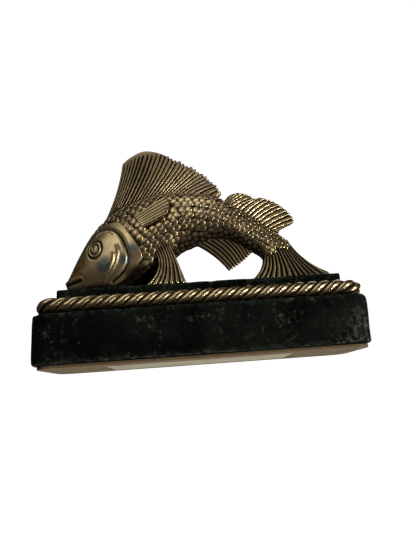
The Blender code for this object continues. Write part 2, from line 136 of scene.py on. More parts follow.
# Each fin has its root line inside the body, its outer edge, how far its first, middle and last ribs bow, its
# number of ribs, half its thickness at root and edge, the depth of the scallops at its rib tips and the share
# of the edge where they begin. Some also have which share of the root each share of the edge meets, a smooth
# rim up to a share of the edge, a place where the ribs are pinched (how much, where and how wide), ragged rib
# tips, or sides that are thinner than the middle.
PELVIC_FIN = dict(
    root=((-22.4, -6.2, 20.4), (-17.4, -7.0, 22.6), (-12.2, -6.2, 21.6)),
    edge=((-22.6, -10.4, 0.1), (-14.0, -11.2, 0.1), (-5.4, -10.4, 0.6)),
    bow=((6.0, 0.5, 0), (3.0, 0.5, 0), (0.2, 0.5, 0)), ribs=7, half=(2.1, 1.25), scallop=(0.2, 0.0),
)
FINS = {
    "first_dorsal_fin": dict(
        root=on_middle((-42.2, 27.4), (-33.9, 34.6), (-25.5, 38.6), (-15.5, 41.6), (-4.5, 42.2), (5.0, 40.6),
                       (10.8, 38.4)),
        edge=on_middle((-31.3, 61.2), (-27.2, 64.6), (-21.5, 67.2), (-14.5, 65.9), (-5.5, 61.2), (2.6, 56.0),
                       (8.9, 50.0), (13.4, 44.0)),
        bow=on_middle((1.6, 0), (0.8, -0.2), (-0.8, 0.7)), ribs=27, half=(1.9, 0.80), scallop=(0.8, 0.36),
        meets=((0.0, 0.0), (0.15, 0.11), (0.32, 0.28), (0.45, 0.38), (0.60, 0.51), (0.72, 0.59), (0.86, 0.70),
               (0.93, 0.81), (1.0, 1.0)),
        rim=0.36, pinch=(0.16, 0.24, 0.07), ragged=0.35,
    ),
    "second_dorsal_fin": dict(
        root=on_middle((13.0, 38.0), (19.0, 33.6), (25.5, 28.2), (31.5, 24.2), (36.0, 22.6)),
        edge=on_middle((13.6, 40.2), (16.3, 42.9), (20.6, 43.9), (25.2, 42.4), (27.6, 40.6), (31.0, 40.9),
                       (35.5, 38.8), (38.8, 36.6), (41.1, 34.3), (43.1, 31.6), (43.9, 29.2), (42.7, 27.4),
                       (37.0, 25.4)),
        bow=on_middle((0.0, 0.2), (-0.5, 0.9), (0.2, 0.2)), ribs=21, half=(1.7, 0.80), scallop=(0.45, 0.1),
        meets=((0.0, 0.0), (0.12, 0.03), (0.30, 0.10), (0.50, 0.42), (0.66, 0.60), (0.80, 0.80), (1.0, 1.0)),
    ),
    "anal_fin": dict(
        root=on_middle((-2.0, 21.0), (2.5, 23.8), (8.5, 25.2), (15.5, 23.8)),
        edge=on_middle((13.0, 7.6), (15.2, 8.8), (18.5, 10.8), (21.5, 13.2), (25.2, 16.4)),
        bow=on_middle((0.9, 0.9), (1.3, 2.0), (1.3, 1.0)), ribs=11, half=(1.7, 0.85), scallop=(0.45, 0.0),
    ),
    "tail_fin": dict(
        root=on_middle((27.4, 16.2), (33.8, 18.4), (39.8, 19.8)),
        edge=on_middle((19.0, 0.1), (30.0, 0.1), (42.0, 0.1), (51.0, 0.3), (55.4, 1.6), (56.4, 4.3)),
        bow=on_middle((3.8, -0.2), (0.9, 0), (-1.9, -1.1)), ribs=13, half=(4.0, 3.7), scallop=(0.3, 0.0),
        thin_sides=0.55,
    ),
    "left_pelvic_fin": PELVIC_FIN,
    "right_pelvic_fin": mirrored(PELVIC_FIN),
}
# Places where the brass is made darker and less polished: centre, reach in metres and the share of the polish
# that is taken away
# Painted shade under the throat behind the gill cover, and under the chin
THROAT_SHADE = (
    ((-24.2, 0.0, 5.5), (0.0125, 0.030, 0.0100), 0.97),
    ((-42.0, 0.0, -1.5), (0.032, 0.050, 0.0100), 1.0))
# Places on the fins made darker and less polished
FIN_DARKER_PLACES = (
    ((-30.0, 0.0, 50.0), (0.022, 0.03, 0.028), 0.40), ((-4.0, 0.0, 52.0), (0.040, 0.03, 0.030), 0.32),
    ((36.0, 0.0, 7.0), (0.028, 0.03, 0.019), 0.62), ((-16.5, 0.0, 19.0), (0.009, 0.03, 0.010), 0.60),
    ((13.0, 0.0, 15.0), (0.018, 0.03, 0.015), 0.40))
# Stains on the head: the reddish one's centre and reach, and the x, h and reach of the bluish ones
SNOUT_STAIN = ((-50.0, -5.0, 11.5), (0.0085, 0.012, 0.0075))
BLUE_STAINS = ((-38.5, 11.0, 0.0062), (-30.6, 13.0, 0.0042), (-26.8, 17.5, 0.0042))
# The leaf of a pectoral fin: its root and tip, between which its edges run, how they bow, and its rough size
PECTORAL_ROOT = ((-25.8, 31.0), (-24.2, 28.2), (-22.2, 25.2))
PECTORAL_TIP = ((-12.4, 40.6), (-10.6, 37.6), (-10.6, 34.6), (-11.3, 31.8), (-13.2, 29.8))
PECTORAL_BOW = -0.5
PECTORAL_WIDTH, PECTORAL_LENGTH = 13.0, 15.0

# ---------------------------------------------------------------- drawing helpers


def resampled(wanted, known, rows):
    """Rows of numbers at the wanted places, from rows at known ones."""
    rows = np.asarray(rows, float)
    return np.column_stack([np.interp(wanted, known, rows[:, k]) for k in range(rows.shape[1])])


def smooth_curve(controls, count):
    """Points at even spacing on a Catmull-Rom curve through the controls."""
    knots = np.asarray(controls, float)
    padded = np.vstack((2 * knots[0] - knots[1], knots, 2 * knots[-1] - knots[-2]))
    t = np.linspace(0.0, 1.0, 25)[:-1, None]
    spans = []
    for p0, p1, p2, p3 in zip(padded, padded[1:], padded[2:], padded[3:]):
        spans.append(0.5 * (2 * p1 + (p2 - p0) * t + (2 * p0 - 5 * p1 + 4 * p2 - p3) * t**2
                            + (3 * p1 - p0 - 3 * p2 + p3) * t**3))
    fine = np.vstack((*spans, knots[-1:]))
    run = np.concatenate(([0.0], np.cumsum(np.linalg.norm(np.diff(fine, axis=0), axis=1))))
    return resampled(np.linspace(0.0, run[-1], count), run, fine)


def smoothstep(value, low, high):
    """0 below low, 1 above high, smooth between."""
    t = np.clip((value - low) / (high - low), 0.0, 1.0)
    return t * t * (3 - 2 * t)


def bump_shape(distance, width):
    """A rounded bump: 1 in the middle, almost nothing at twice its width."""
    return np.exp(-((distance / width) ** 2))


def distance_to_line(x, h, line):
    """Distance from each point x, h to a line of points."""
    best = np.full(np.shape(x), np.inf)
    for (ax, ah), (bx, bh) in zip(line, line[1:]):
        dx, dh = bx - ax, bh - ah
        t = np.clip(((x - ax) * dx + (h - ah) * dh) / (dx * dx + dh * dh), 0.0, 1.0)
        best = np.minimum(best, np.hypot(x - ax - t * dx, h - ah - t * dh))
    return best


def inside_outline(x, h, outline):
    """Whether each point x, h lies inside a closed outline."""
    inside = np.zeros(np.shape(x), bool)
    for (ax, ah), (bx, bh) in zip(outline, outline[1:] + outline[:1]):
        if ah == bh:
            continue
        crosses = ((ah > h) != (bh > h)) & (x < (bx - ax) * (h - ah) / (bh - ah) + ax)
        inside ^= crosses
    return inside


def placed(points):
    """Drawn points (x, y, h) in metres, on the plate."""
    points = np.asarray(points, float)
    return np.stack((points[..., 0] * MM, points[..., 1] * MM, FOOT + points[..., 2] * MM), axis=-1)


def grid_faces(rows, columns, around):
    """Quads of a grid of points, row by row; around joins the last column to the first."""
    r = np.arange(rows - 1)[:, None]
    c = np.arange(columns if around else columns - 1)[None, :]
    next_c = (c + 1) % columns
    this_row, next_row = r * columns, (r + 1) * columns
    corners = np.stack((this_row + c, this_row + next_c, next_row + next_c, next_row + c), -1)
    return corners.reshape(-1, 4).tolist()


def fanned_faces(rows, columns):
    """Faces of a grid closed round its columns and by a fan at each end. Its last two points are the centres
    of the fans."""
    first, last, base = rows * columns, rows * columns + 1, (rows - 1) * columns
    return (grid_faces(rows, columns, around=True)
            + [[first, (c + 1) % columns, c] for c in range(columns)]
            + [[last, base + c, base + (c + 1) % columns] for c in range(columns)])


def linked(name, data):
    """An object with this data, in the scene."""
    made = bpy.data.objects.new(name, data)
    bpy.context.scene.collection.objects.link(made)
    return made


def add_layer(mesh, key, numbers, kind="FLOAT", field="value"):
    """Store a number or a vector for each point of a mesh."""
    layer = mesh.attributes.new(key, kind, "POINT")
    layer.data.foreach_set(field, np.asarray(numbers, np.float32).ravel())


def new_piece(name, points, faces, values=None):
    """A mesh object at the origin from points in metres, with a value per point for each named attribute."""
    mesh = bpy.data.meshes.new(name)
    mesh.from_pydata(np.asarray(points, float).reshape(-1, 3).tolist(), [], faces)
    for key, numbers in (values or {}).items():
        add_layer(mesh, key, numbers)
    mesh.validate()
    mesh.shade_smooth()
    return linked(name, mesh)


def turn_outward(piece):
    """Give a closed mesh faces that point out."""
    bm = bmesh.new()
    bm.from_mesh(piece.data)
    bmesh.ops.recalc_face_normals(bm, faces=bm.faces)
    bm.to_mesh(piece.data)
    bm.free()
    piece.data.shade_smooth()


def closed_leaf(name, one_side, other_side, one_shown, other_shown):
    """A closed leaf between two grids of drawn points, each with how clear of patina its points are."""
    columns, rows = one_side.shape[:2]
    ring = 2 * rows
    faces = grid_faces(columns, ring, around=True)
    for start in (0, (columns - 1) * ring):
        end = start + ring - 1
        faces += [[start + i, start + i + 1, end - i - 1, end - i] for i in range(rows - 1)]
    loop = np.concatenate((one_side, other_side[:, ::-1]), axis=1)
    relief = np.concatenate((one_shown, other_shown[:, ::-1]), axis=1)
    leaf = new_piece(name, placed(loop), faces, {"relief": relief})
    turn_outward(leaf)
    return leaf


def deliver(piece, material, slot, *nodes):
    """Give a finished piece its finish and its body, and hide the solids that it stands for."""
    piece.data.materials.clear()
    piece.data.materials.append(material)
    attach(piece, BODY)
    if nodes:
        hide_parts(*nodes)


# ---------------------------------------------------------------- shader writing


class Shade:
    """One value in a material's nodes. Arithmetic on it adds Math nodes."""

    def __init__(self, finish, socket):
        self.finish = finish
        self.socket = socket

    def math(self, operation, *others):
        return self.finish.node("ShaderNodeMath", {"operation": operation}, [self, *others])

    def __add__(self, other):
        return self.math("ADD", other)

    def __sub__(self, other):
        return self.math("SUBTRACT", other)

    def __rsub__(self, other):
        return (self * -1.0) + other

    def __mul__(self, other):
        return self.math("MULTIPLY", other)

    __radd__ = __add__
    __rmul__ = __mul__

    def between(self, low, high):
        """0 below low, 1 above high, smooth between."""
        return self.finish.node("ShaderNodeMapRange", {"interpolation_type": "SMOOTHSTEP", "clamp": True},
                                [self, low, high, 0.0, 1.0])


# How far the belly's shade pushes the patina up the relief
SHADE_DEPTH = 0.68
# Heights on a scale's dome between which its dull ring begins and ends, and how much polish the ring loses
RING_FOOT, RING_TOP, RING_LOSS = (0.62, 0.72), (0.84, 0.93), 0.40
# Specular levels that keep the dark patina and the stone black
BRASS_SPECULAR, STONE_SPECULAR = 0.07, 0.015
# Half the width of a vein or a scratch, in steps of noise
HAIRLINE = 0.006


class Finish:
    """A material with one Principled shader and a short way to add nodes."""

    labels = {"specular_ior_level": "Specular IOR Level"}

    def __init__(self, name):
        self.material = bpy.data.materials.new(name)
        self.material.use_nodes = True
        self.tree = self.material.node_tree
        self.shader = self.tree.nodes["Principled BSDF"]

    def feed(self, socket, value):
        """Link a value to a socket, or set the socket to a plain number or colour."""
        if isinstance(value, Shade):
            self.tree.links.new(value.socket, socket)
        elif hasattr(socket.default_value, "__len__") and len(socket.default_value) == 4 and len(value) == 3:
            socket.default_value = (*value, 1.0)
        else:
            socket.default_value = value

    def node(self, kind, settings, values, output=0):
        """Add a node: its settings first, then its inputs by place or by name."""
        made = self.tree.nodes.new(kind)
        for key, value in settings.items():
            setattr(made, key, value)
        pairs = values.items() if isinstance(values, dict) else enumerate(values)
        for key, value in pairs:
            if value is not None:
                self.feed(made.inputs[key], value)
        return Shade(self, made.outputs[output])

    def place(self, stretch=(1.0, 1.0, 1.0), turn=(0.0, 0.0, 0.0), shift=(0.0, 0.0, 0.0)):
        """Place on the figure in metres, stretched, turned and shifted."""
        here = self.node("ShaderNodeTexCoord", {}, {}, "Object")
        return self.node("ShaderNodeMapping", {}, {"Vector": here, "Location": shift, "Rotation": turn,
                                                   "Scale": stretch})

    def noise(self, size, detail=3.0, roughness=0.5, place=None, distortion=0.0):
        """Noise of a feature size in metres, 0 to 1."""
        return self.node("ShaderNodeTexNoise", {}, {
            "Vector": place or self.place(), "Scale": 1.0 / size, "Detail": detail, "Roughness": roughness,
            "Distortion": distortion})

    def value(self, name):
        """A number stored on the piece's points."""
        return self.node("ShaderNodeAttribute", {"attribute_name": name}, {}, "Fac")

    def mix(self, share, first, second):
        """The first colour where the share is 0, the second where it is 1."""
        made = self.tree.nodes.new("ShaderNodeMix")
        made.data_type = "RGBA"
        self.feed(made.inputs["Factor"], share)
        for key, colour in ((6, first), (7, second)):
            self.feed(made.inputs[key], colour)
        return Shade(self, made.outputs[2])

    def bump(self, height, distance, strength=1.0):
        """Normals that follow a height, given the distance in metres that 1 stands for."""
        return self.node("ShaderNodeBump", {}, {"Height": height, "Distance": distance, "Strength": strength},
                         "Normal")

    def set(self, **sockets):
        """Feed the shader's own sockets and hand back the material."""
        for key, value in sockets.items():
            self.feed(self.shader.inputs[self.labels.get(key, key.replace("_", " ").title())], value)
        return self.material


def near(finish, centre, reach):
    """1 at a place in metres, falling to 0 at its reach along each axis."""
    stretch = tuple(1.0 / r for r in reach)
    shift = tuple(-c * s for c, s in zip(centre, stretch))
    offset = finish.place(stretch, shift=shift)
    length = finish.node("ShaderNodeVectorMath", {"operation": "LENGTH"}, [offset], "Value")
    return 1 - length.between(0.0, 1.0)


def antique_brass(name, colours, patina_low=0.34, patina_high=0.95, darker_places=(), satin=0.0, stained=False,
                  ringed=False):
    """Cast brass: dark patina low in the relief, polished on the high spots, with soft tarnish in between. On
    faces that look down, the piece's shade value paints shade by pushing the patina higher up the relief. A
    darker place is a centre, its reach and how much of the polish is taken away there; under the throat and
    chin these are painted shade. Ringed brass has a less polished ring part way down each dome."""
    finish = Finish(name)
    relief = finish.value("relief")
    cloud = finish.noise(0.009, 4.0, 0.6)
    grain = finish.noise(0.0009, 3.0, 0.65)
    # Painted shade: where the shade value says a face looks down, the patina climbs higher up the relief
    shaded_relief = relief - finish.value("shade") * SHADE_DEPTH
    polish = (shaded_relief + (cloud - 0.5) * 0.30 + (grain - 0.5) * 0.25).between(patina_low, patina_high)
    if ringed:
        ring = relief.between(*RING_FOOT) * (1 - relief.between(*RING_TOP))
        polish = polish * (1 - RING_LOSS * ring)
    # Painted shade under the throat and chin, and the fins' darker places, take polish away here
    for centre, reach, loss in darker_places:
        polish = polish * (1 - loss * near(finish, placed(centre), reach).between(0.0, 0.6))
    metal = finish.mix(cloud.between(0.38, 0.66), colours.brass, colours.worn_brass)
    colour = finish.mix(polish, colours.patina, metal)
    if stained:
        spots = finish.noise(0.0030, 4.0, 0.7, distortion=0.8)
        snout = near(finish, placed(SNOUT_STAIN[0]), SNOUT_STAIN[1]).between(0.1, 0.7)
        colour = finish.mix(snout * spots.between(0.44, 0.56), colour, colours.copper_stain)
        for x, h, reach in BLUE_STAINS:
            tint = near(finish, placed((x, -8.5, h)), (reach, 0.006, reach)).between(0.15, 0.8)
            colour = finish.mix(tint * spots.between(0.30, 0.58) * 0.85, colour, colours.blue_stain)
    pits = finish.noise(0.00035, 2.0, 0.5)
    rough = 0.58 + satin - polish * 0.33 + (cloud - 0.5) * 0.16 + (grain - 0.5) * 0.12
    height = cloud * 0.5 + grain * 0.3 + pits * 0.12
    finish.set(specular_ior_level=BRASS_SPECULAR)
    return finish.set(base_color=colour, metallic=0.6 + polish * 0.4, roughness=rough,
                      normal=finish.bump(height, 0.0002, 0.55))


def dark_stone(name, colours):
    """Black-green stone with pale flecks in patches, fine scratches and worn places along its edges."""
    finish = Finish(name)

    def hairlines(*settings, **more):
        return 1 - (finish.noise(*settings, **more) - 0.5).math("ABSOLUTE").between(0.0, HAIRLINE)

    wear = finish.value("wear")
    cloud = finish.noise(0.016, 5.0, 0.6)
    patch = finish.noise(0.011, 4.0, 0.65, distortion=0.8).between(0.46, 0.66)
    fleck = finish.noise(0.0019, 5.0, 0.74, distortion=0.5).between(0.53, 0.68)
    speck = finish.noise(0.0008, 3.0, 0.6).between(0.62, 0.74)
    veins = hairlines(0.014, 7.0, 0.66, distortion=1.8)
    scratch = hairlines(0.010, 5.0, 0.5, place=finish.place((1.0, 1.0, 9.0), turn=(0.5, 0.62, 0.3)))
    broken = finish.noise(0.0022, 5.0, 0.75).between(0.44, 0.66)
    ground = finish.mix(cloud.between(0.35, 0.7), colours.stone, colours.stone_light)
    pale = (fleck * patch * 0.42 + speck * (0.10 + 0.22 * patch) + veins * 0.09 * cloud.between(0.4, 0.6)
            + scratch * 0.09 * cloud.between(0.45, 0.65))
    # A paler patch low on the block's right corner
    pale_patch_centre = (BLOCK[1].x, BLOCK[0].y, BLOCK[0].z + 0.008)
    pale_patch = near(finish, pale_patch_centre, (0.007, 0.007, 0.012)).between(0.0, 1.0)
    pale = (pale + (wear * 0.8 + pale_patch * 0.25) * broken * 0.55).math("MINIMUM", 1.0)
    colour = finish.mix(pale, ground, colours.stone_fleck)
    rough = 0.25 + pale * 0.45 + (cloud - 0.5) * 0.1
    height = cloud * 0.3 + fleck * 0.15 - scratch * 0.12 + finish.noise(0.0004, 2.0, 0.5) * 0.12
    finish.set(specular_ior_level=STONE_SPECULAR)
    return finish.set(base_color=colour, roughness=rough, normal=finish.bump(height, 0.00025, 0.6))


def pressed_felt(name, colours):
    """Soiled felt with fibres that cross."""
    finish = Finish(name)
    cloud = finish.noise(0.012, 4.0, 0.6)
    fibre = finish.noise(0.0011, 5.0, 0.75, place=finish.place((1.0, 2.6, 1.0), turn=(0, 0, 0.5)))
    hair = finish.noise(0.0009, 4.0, 0.7, place=finish.place((2.4, 1.0, 1.0), turn=(0, 0, -0.4)))
    tone = cloud.between(0.3, 0.75) * 0.55 + fibre.between(0.3, 0.7) * 0.3 + hair.between(0.35, 0.7) * 0.15
    colour = finish.mix(tone, colours.felt_dark, colours.felt)
    finish.set(sheen_weight=0.10, sheen_roughness=0.5)
    return finish.set(base_color=colour, roughness=0.95 - fibre * 0.05,
                      normal=finish.bump(fibre * 0.6 + hair * 0.4, 0.0003, 0.8))


def aged_paper(name, colours):
    """Cream paper, stained in places."""
    finish = Finish(name)
    cloud = finish.noise(0.014, 5.0, 0.65)
    fibre = finish.noise(0.0006, 4.0, 0.7, place=finish.place((1.0, 3.0, 1.0)))
    stain = finish.noise(0.005, 4.0, 0.7, distortion=0.7).between(0.56, 0.72)
    tone = cloud.between(0.3, 0.7) * 0.5 + stain * 0.4 + fibre * 0.1
    colour = finish.mix(tone, colours.paper, colours.paper_stain)
    return finish.set(base_color=colour, roughness=0.85 - cloud * 0.1,
                      normal=finish.bump(fibre, 0.00008, 0.5))


def plated_steel(name, colours):
    """Steel with a dulled plating and faint marks of turning."""
    finish = Finish(name)
    cloud = finish.noise(0.003, 4.0, 0.6)
    turned = finish.noise(0.0008, 3.0, 0.6, place=finish.place((1.0, 1.0, 6.0)))
    colour = finish.mix(cloud, colours.steel, colours.steel_dull)
    return finish.set(base_color=colour, metallic=1.0, roughness=0.3 + cloud * 0.25,
                      normal=finish.bump(turned, 0.00005, 0.5))


BACKDROP_GLOW = 0.95


def pale_backdrop(colours):
    """Near white, with a light of its own so that it stays even."""
    finish = Finish("pale_backdrop")
    tone = finish.noise(0.4, 2.0, 0.5)
    colour = finish.mix(tone * 0.15, colours.floor, (0.9, 0.9, 0.9))
    finish.set(emission_color=(1.0, 1.0, 1.0), emission_strength=BACKDROP_GLOW)
    return finish.set(base_color=colour, roughness=0.9)


# ---------------------------------------------------------------- body of the fish


def section_rings(sections, angles):
    """Drawn points on the body for each section (rows) and angle from the back (columns)."""
    middle = (sections[:, 0:2] + sections[:, 2:4]) / 2
    reach = (sections[:, 0:2] - sections[:, 2:4]) / 2
    cosine, sine = np.cos(angles), np.sin(angles)
    x = middle[:, 0, None] + reach[:, 0, None] * cosine
    h = middle[:, 1, None] + reach[:, 1, None] * cosine
    y = sections[:, 4, None] * sine
    return np.stack((x, y * np.ones_like(x), h), -1)


def grid_normals(points):
    """Unit normals of a grid closed along its columns, pointing out."""
    along = np.gradient(points, axis=0)
    around = (np.roll(points, -1, axis=1) - np.roll(points, 1, axis=1)) / 2
    normal = np.cross(around, along)
    normal /= np.linalg.norm(normal, axis=2, keepdims=True) + 1e-12
    centre = points.mean(axis=1, keepdims=True)
    flip = np.sign(((points - centre) * normal).sum(axis=2).mean())
    return normal * flip


def head_outline():
    """The gill cover's edge, closed far in front of the snout."""
    return list(GILL_COVER_EDGE) + [(-40.0, -5.0), (-75.0, -5.0), (-75.0, 50.0), (-45.0, 50.0)]


def head_relief(x, h, width_share):
    """Height of the head's carving above the plain body, in drawn millimetres, and how exposed it is."""
    edge = distance_to_line(x, h, GILL_COVER_EDGE)
    inside = inside_outline(x, h, head_outline())
    signed = np.where(inside, edge, -edge)
    cover = smoothstep(signed, -0.25, 0.20)
    height = 0.80 * cover
    exposed = 0.10 + 0.90 * cover - 0.5 * bump_shape(signed + 0.1, 0.30)

    side = smoothstep(width_share, 0.25, 0.5)
    for line, depth, width, dark in CARVING:
        distance = distance_to_line(x, h, line)
        strength = side if line is not MOUTH else 1.0
        height = height + strength * depth * bump_shape(distance, width)
        exposed = exposed - strength * dark * bump_shape(distance, width)
    behind_groove = distance_to_line(x - 0.9, h - 0.4, CHEEK_GROOVE)
    height = height - side * 0.22 * bump_shape(behind_groove, 0.5)
    for line, offset in CREASES:
        crease = distance_to_line(x - offset, h - 0.2, line)
        height = height - side * 0.24 * bump_shape(crease, 0.25)
        exposed = exposed - side * 0.65 * bump_shape(crease, 0.25)
    lips = distance_to_line(x, h, MOUTH)
    height = height + 0.16 * bump_shape(lips - 1.0, 0.4)

    nostril = np.hypot(x - NOSTRIL[0], h - NOSTRIL[1])
    height = height - side * 0.22 * bump_shape(nostril, 0.4)
    exposed = exposed - side * 0.5 * bump_shape(nostril, 0.4)

    across, above = x - EYE_CENTRE[0], h - EYE_CENTRE[1]
    along = across * math.cos(EYE_TILT) + above * math.sin(EYE_TILT)
    up = above * math.cos(EYE_TILT) - across * math.sin(EYE_TILT)
    ring = np.hypot(along / EYE_REACH[0], up / EYE_REACH[1])
    size = (EYE_REACH[0] + EYE_REACH[1]) / 2
    outer, inner = np.abs(ring - 1.0) * size, np.abs(ring - IRIS) * size
    height = height + side * (0.28 * smoothstep(1.05 - ring, 0.0, 0.35)
                              + 0.32 * smoothstep(IRIS - ring, 0.0, 0.3))
    height = height - side * (0.50 * bump_shape(outer, 0.32) + 0.46 * bump_shape(inner, 0.30))
    exposed = exposed - side * (1.5 * bump_shape(outer, 0.40) + 1.4 * bump_shape(inner, 0.34))
    pupil = np.hypot(along - 0.2, up - 0.2)
    height = height - side * 0.20 * bump_shape(pupil - PUPIL_RADIUS, 0.22)
    exposed = exposed - side * 0.8 * bump_shape(pupil - PUPIL_RADIUS, 0.22)
    return height, np.clip(exposed, 0.0, 1.0)


def closing_rings(ring, before):
    """Shrinking rings that round off the snout or the tail root. The ring is its last one, and before is one
    further in."""
    centre = ring.mean(axis=0)
    way = centre - before.mean(axis=0)
    way = way / np.linalg.norm(way)
    reach = np.linalg.norm(ring - centre, axis=1).min()
    return [centre + (ring - centre) * math.cos(a) + way * reach * CLOSING_REACH * math.sin(a)
            for a in CLOSING_TURNS]


def make_body(settings, colours):
    """The closed body, with the head's carving pushed out of it along its normals."""
    dense = smooth_curve(SECTIONS, 1200)
    head_rows = np.linspace(0.0, HEAD_SHARE, settings.head_rows, endpoint=False)
    rear_rows = np.linspace(HEAD_SHARE, 1.0, settings.rear_rows)
    sections = resampled(np.concatenate((head_rows, rear_rows)), np.linspace(0.0, 1.0, len(dense)), dense)
    angles = np.linspace(0.0, math.tau, settings.body_columns, endpoint=False)
    points = section_rings(sections, angles)

    x, h = points[..., 0], points[..., 2]
    width_share = np.abs(np.sin(angles))[None, :] * np.ones_like(x)
    height, exposed = head_relief(x, h, width_share)
    points = points + grid_normals(points) * height[..., None]

    nose = closing_rings(points[0], points[2])
    rear = closing_rings(points[-1], points[-3])
    points = np.concatenate((np.array(nose[::-1]), points, np.array(rear)))
    exposed = np.concatenate((np.repeat(exposed[:1], len(nose), 0), exposed,
                              np.repeat(exposed[-1:], len(rear), 0)))
    ends = np.array((points[0].mean(axis=0), points[-1].mean(axis=0)))
    everything = np.vstack((points.reshape(-1, 3), ends))
    relief = np.concatenate((exposed.ravel(), (0.8, 0.2)))
    body = new_piece("fish_body", placed(everything), fanned_faces(*points.shape[:2]), {"relief": relief})
    turn_outward(body)
    material = antique_brass("head_brass", colours, 0.05, 0.60, THROAT_SHADE, satin=0.12, stained=True)
    deliver(body, material, "antique_brass", "fish_casting")


# ---------------------------------------------------------------- scales


def spread_evenly(run, turn, widths_at, girth_at, stretch_at, limits, rounds):
    """Push crowded points apart. A point is a distance along the body and a turn round it, 0 to 1. Each wants
    room for its own width and a little more, and gives way by a part of what is missing in each round."""
    room, give = 1.12, 0.35
    for _ in range(rounds):
        width, girth, stretch = widths_at(run), girth_at(run), stretch_at(run, turn)
        ahead = (run[:, None] - run[None, :]) * stretch[:, None]
        beside = (turn[:, None] - turn[None, :] + 0.5) % 1.0 - 0.5
        beside = beside * girth[:, None]
        apart = np.hypot(ahead, beside) + np.eye(len(run)) * 1e3
        wanted = room * (width[:, None] + width[None, :]) / 2
        push = np.clip(1 - apart / wanted, 0.0, None) * give * wanted / apart
        run = np.clip(run + (push * ahead).sum(axis=1) / stretch, *limits)
        turn = (turn + (push * beside).sum(axis=1) / girth) % 1.0
    return run, turn


def fill_gaps(run, turn, widths_at, place, span, room=0.80, row_step=0.35, round_steps=150):
    """Add a scale wherever the nearest one is more than room scale widths away. The tries stand in rows that
    are row_step scale widths apart."""
    places = place(run, turn)
    for distance in np.arange(span[0], span[1], row_step * widths_at(span[1])):
        tries = np.linspace(0.0, 1.0, round_steps, endpoint=False)
        spots = place(np.full(round_steps, distance), tries)
        limit = room * widths_at(distance)
        for spot, around in zip(spots, tries):
            if np.linalg.norm(places - spot, axis=1).min() > limit:
                places = np.vstack((places, spot))
                run, turn = np.append(run, distance), np.append(turn, around)
    return run, turn


def scale_seeds(settings):
    """Where each scale sits on the body, which ways it and its free edge face, and how wide it is."""
    dense = smooth_curve(SECTIONS, 600)
    angles = np.linspace(0.0, math.tau, 361)[:-1]
    points = section_rings(dense, angles)
    normals = grid_normals(points)
    closed = np.concatenate((points, points[:, :1]), axis=1)
    arcs = np.cumsum(np.linalg.norm(np.diff(closed, axis=1), axis=2), axis=1)
    arcs = np.concatenate((np.zeros((len(points), 1)), arcs), axis=1)
    along = np.gradient(points, axis=0)
    runs = np.concatenate(([0.0], np.cumsum(np.linalg.norm(np.diff(points.mean(axis=1), axis=0), axis=1))))
    stretches = np.linalg.norm(along, axis=2) / np.gradient(runs)[:, None]
    wide, narrow = settings.scale_front, settings.scale_rear

    def widths_at(run):
        return wide + (narrow - wide) * run / runs[-1]

    def girth_at(run):
        return np.interp(run, runs, arcs[:, -1])

    def grid_place(run, turn):
        rows = np.clip(np.searchsorted(runs, run), 0, len(runs) - 1)
        reached = [np.searchsorted(arcs[r], t * arcs[r, -1]) for r, t in zip(rows, turn)]
        return rows, np.array(reached, int) % len(angles)

    start, end = settings.scale_start * runs[-1], runs[-1]
    run, turn, distance, column = [], [], start, 0
    while distance < end:
        width = widths_at(distance)
        count = round(girth_at(distance) / width / 2)
        for k in range(count):
            run.append(distance)
            turn.append(((k + 0.5 * (column % 2) + 0.25) / count) % 1.0)
        distance += settings.scale_step * width
        column += 1
    run, turn = spread_evenly(np.array(run), np.array(turn), widths_at, girth_at,
                              lambda u, v: stretches[grid_place(u, v)], (start, end), settings.scale_rounds)
    run, turn = fill_gaps(run, turn, widths_at, lambda u, v: points[grid_place(u, v)], (start, end))
    rows, columns = grid_place(run, turn)
    places, facings, ways = points[rows, columns], normals[rows, columns], along[rows, columns]
    ways = ways / np.linalg.norm(ways, axis=1, keepdims=True)
    widths = widths_at(run)
    x, h = places[:, 0], places[:, 2]
    # no scales on the head or under the pectoral fins
    leaf = PECTORAL_ROOT[::-1] + PECTORAL_TIP
    kept = ~(inside_outline(x - 0.2 * widths, h, head_outline()) | inside_outline(x, h, leaf))
    rng = np.random.default_rng(settings.seed)
    uneven = settings.scale_unevenness
    places = places + rng.normal(0.0, uneven, places.shape) * widths[:, None]
    facings = facings + rng.normal(0.0, uneven, facings.shape)
    widths = widths * rng.uniform(0.93, 1.07, len(widths))
    return places[kept], facings[kept], ways[kept], widths[kept]


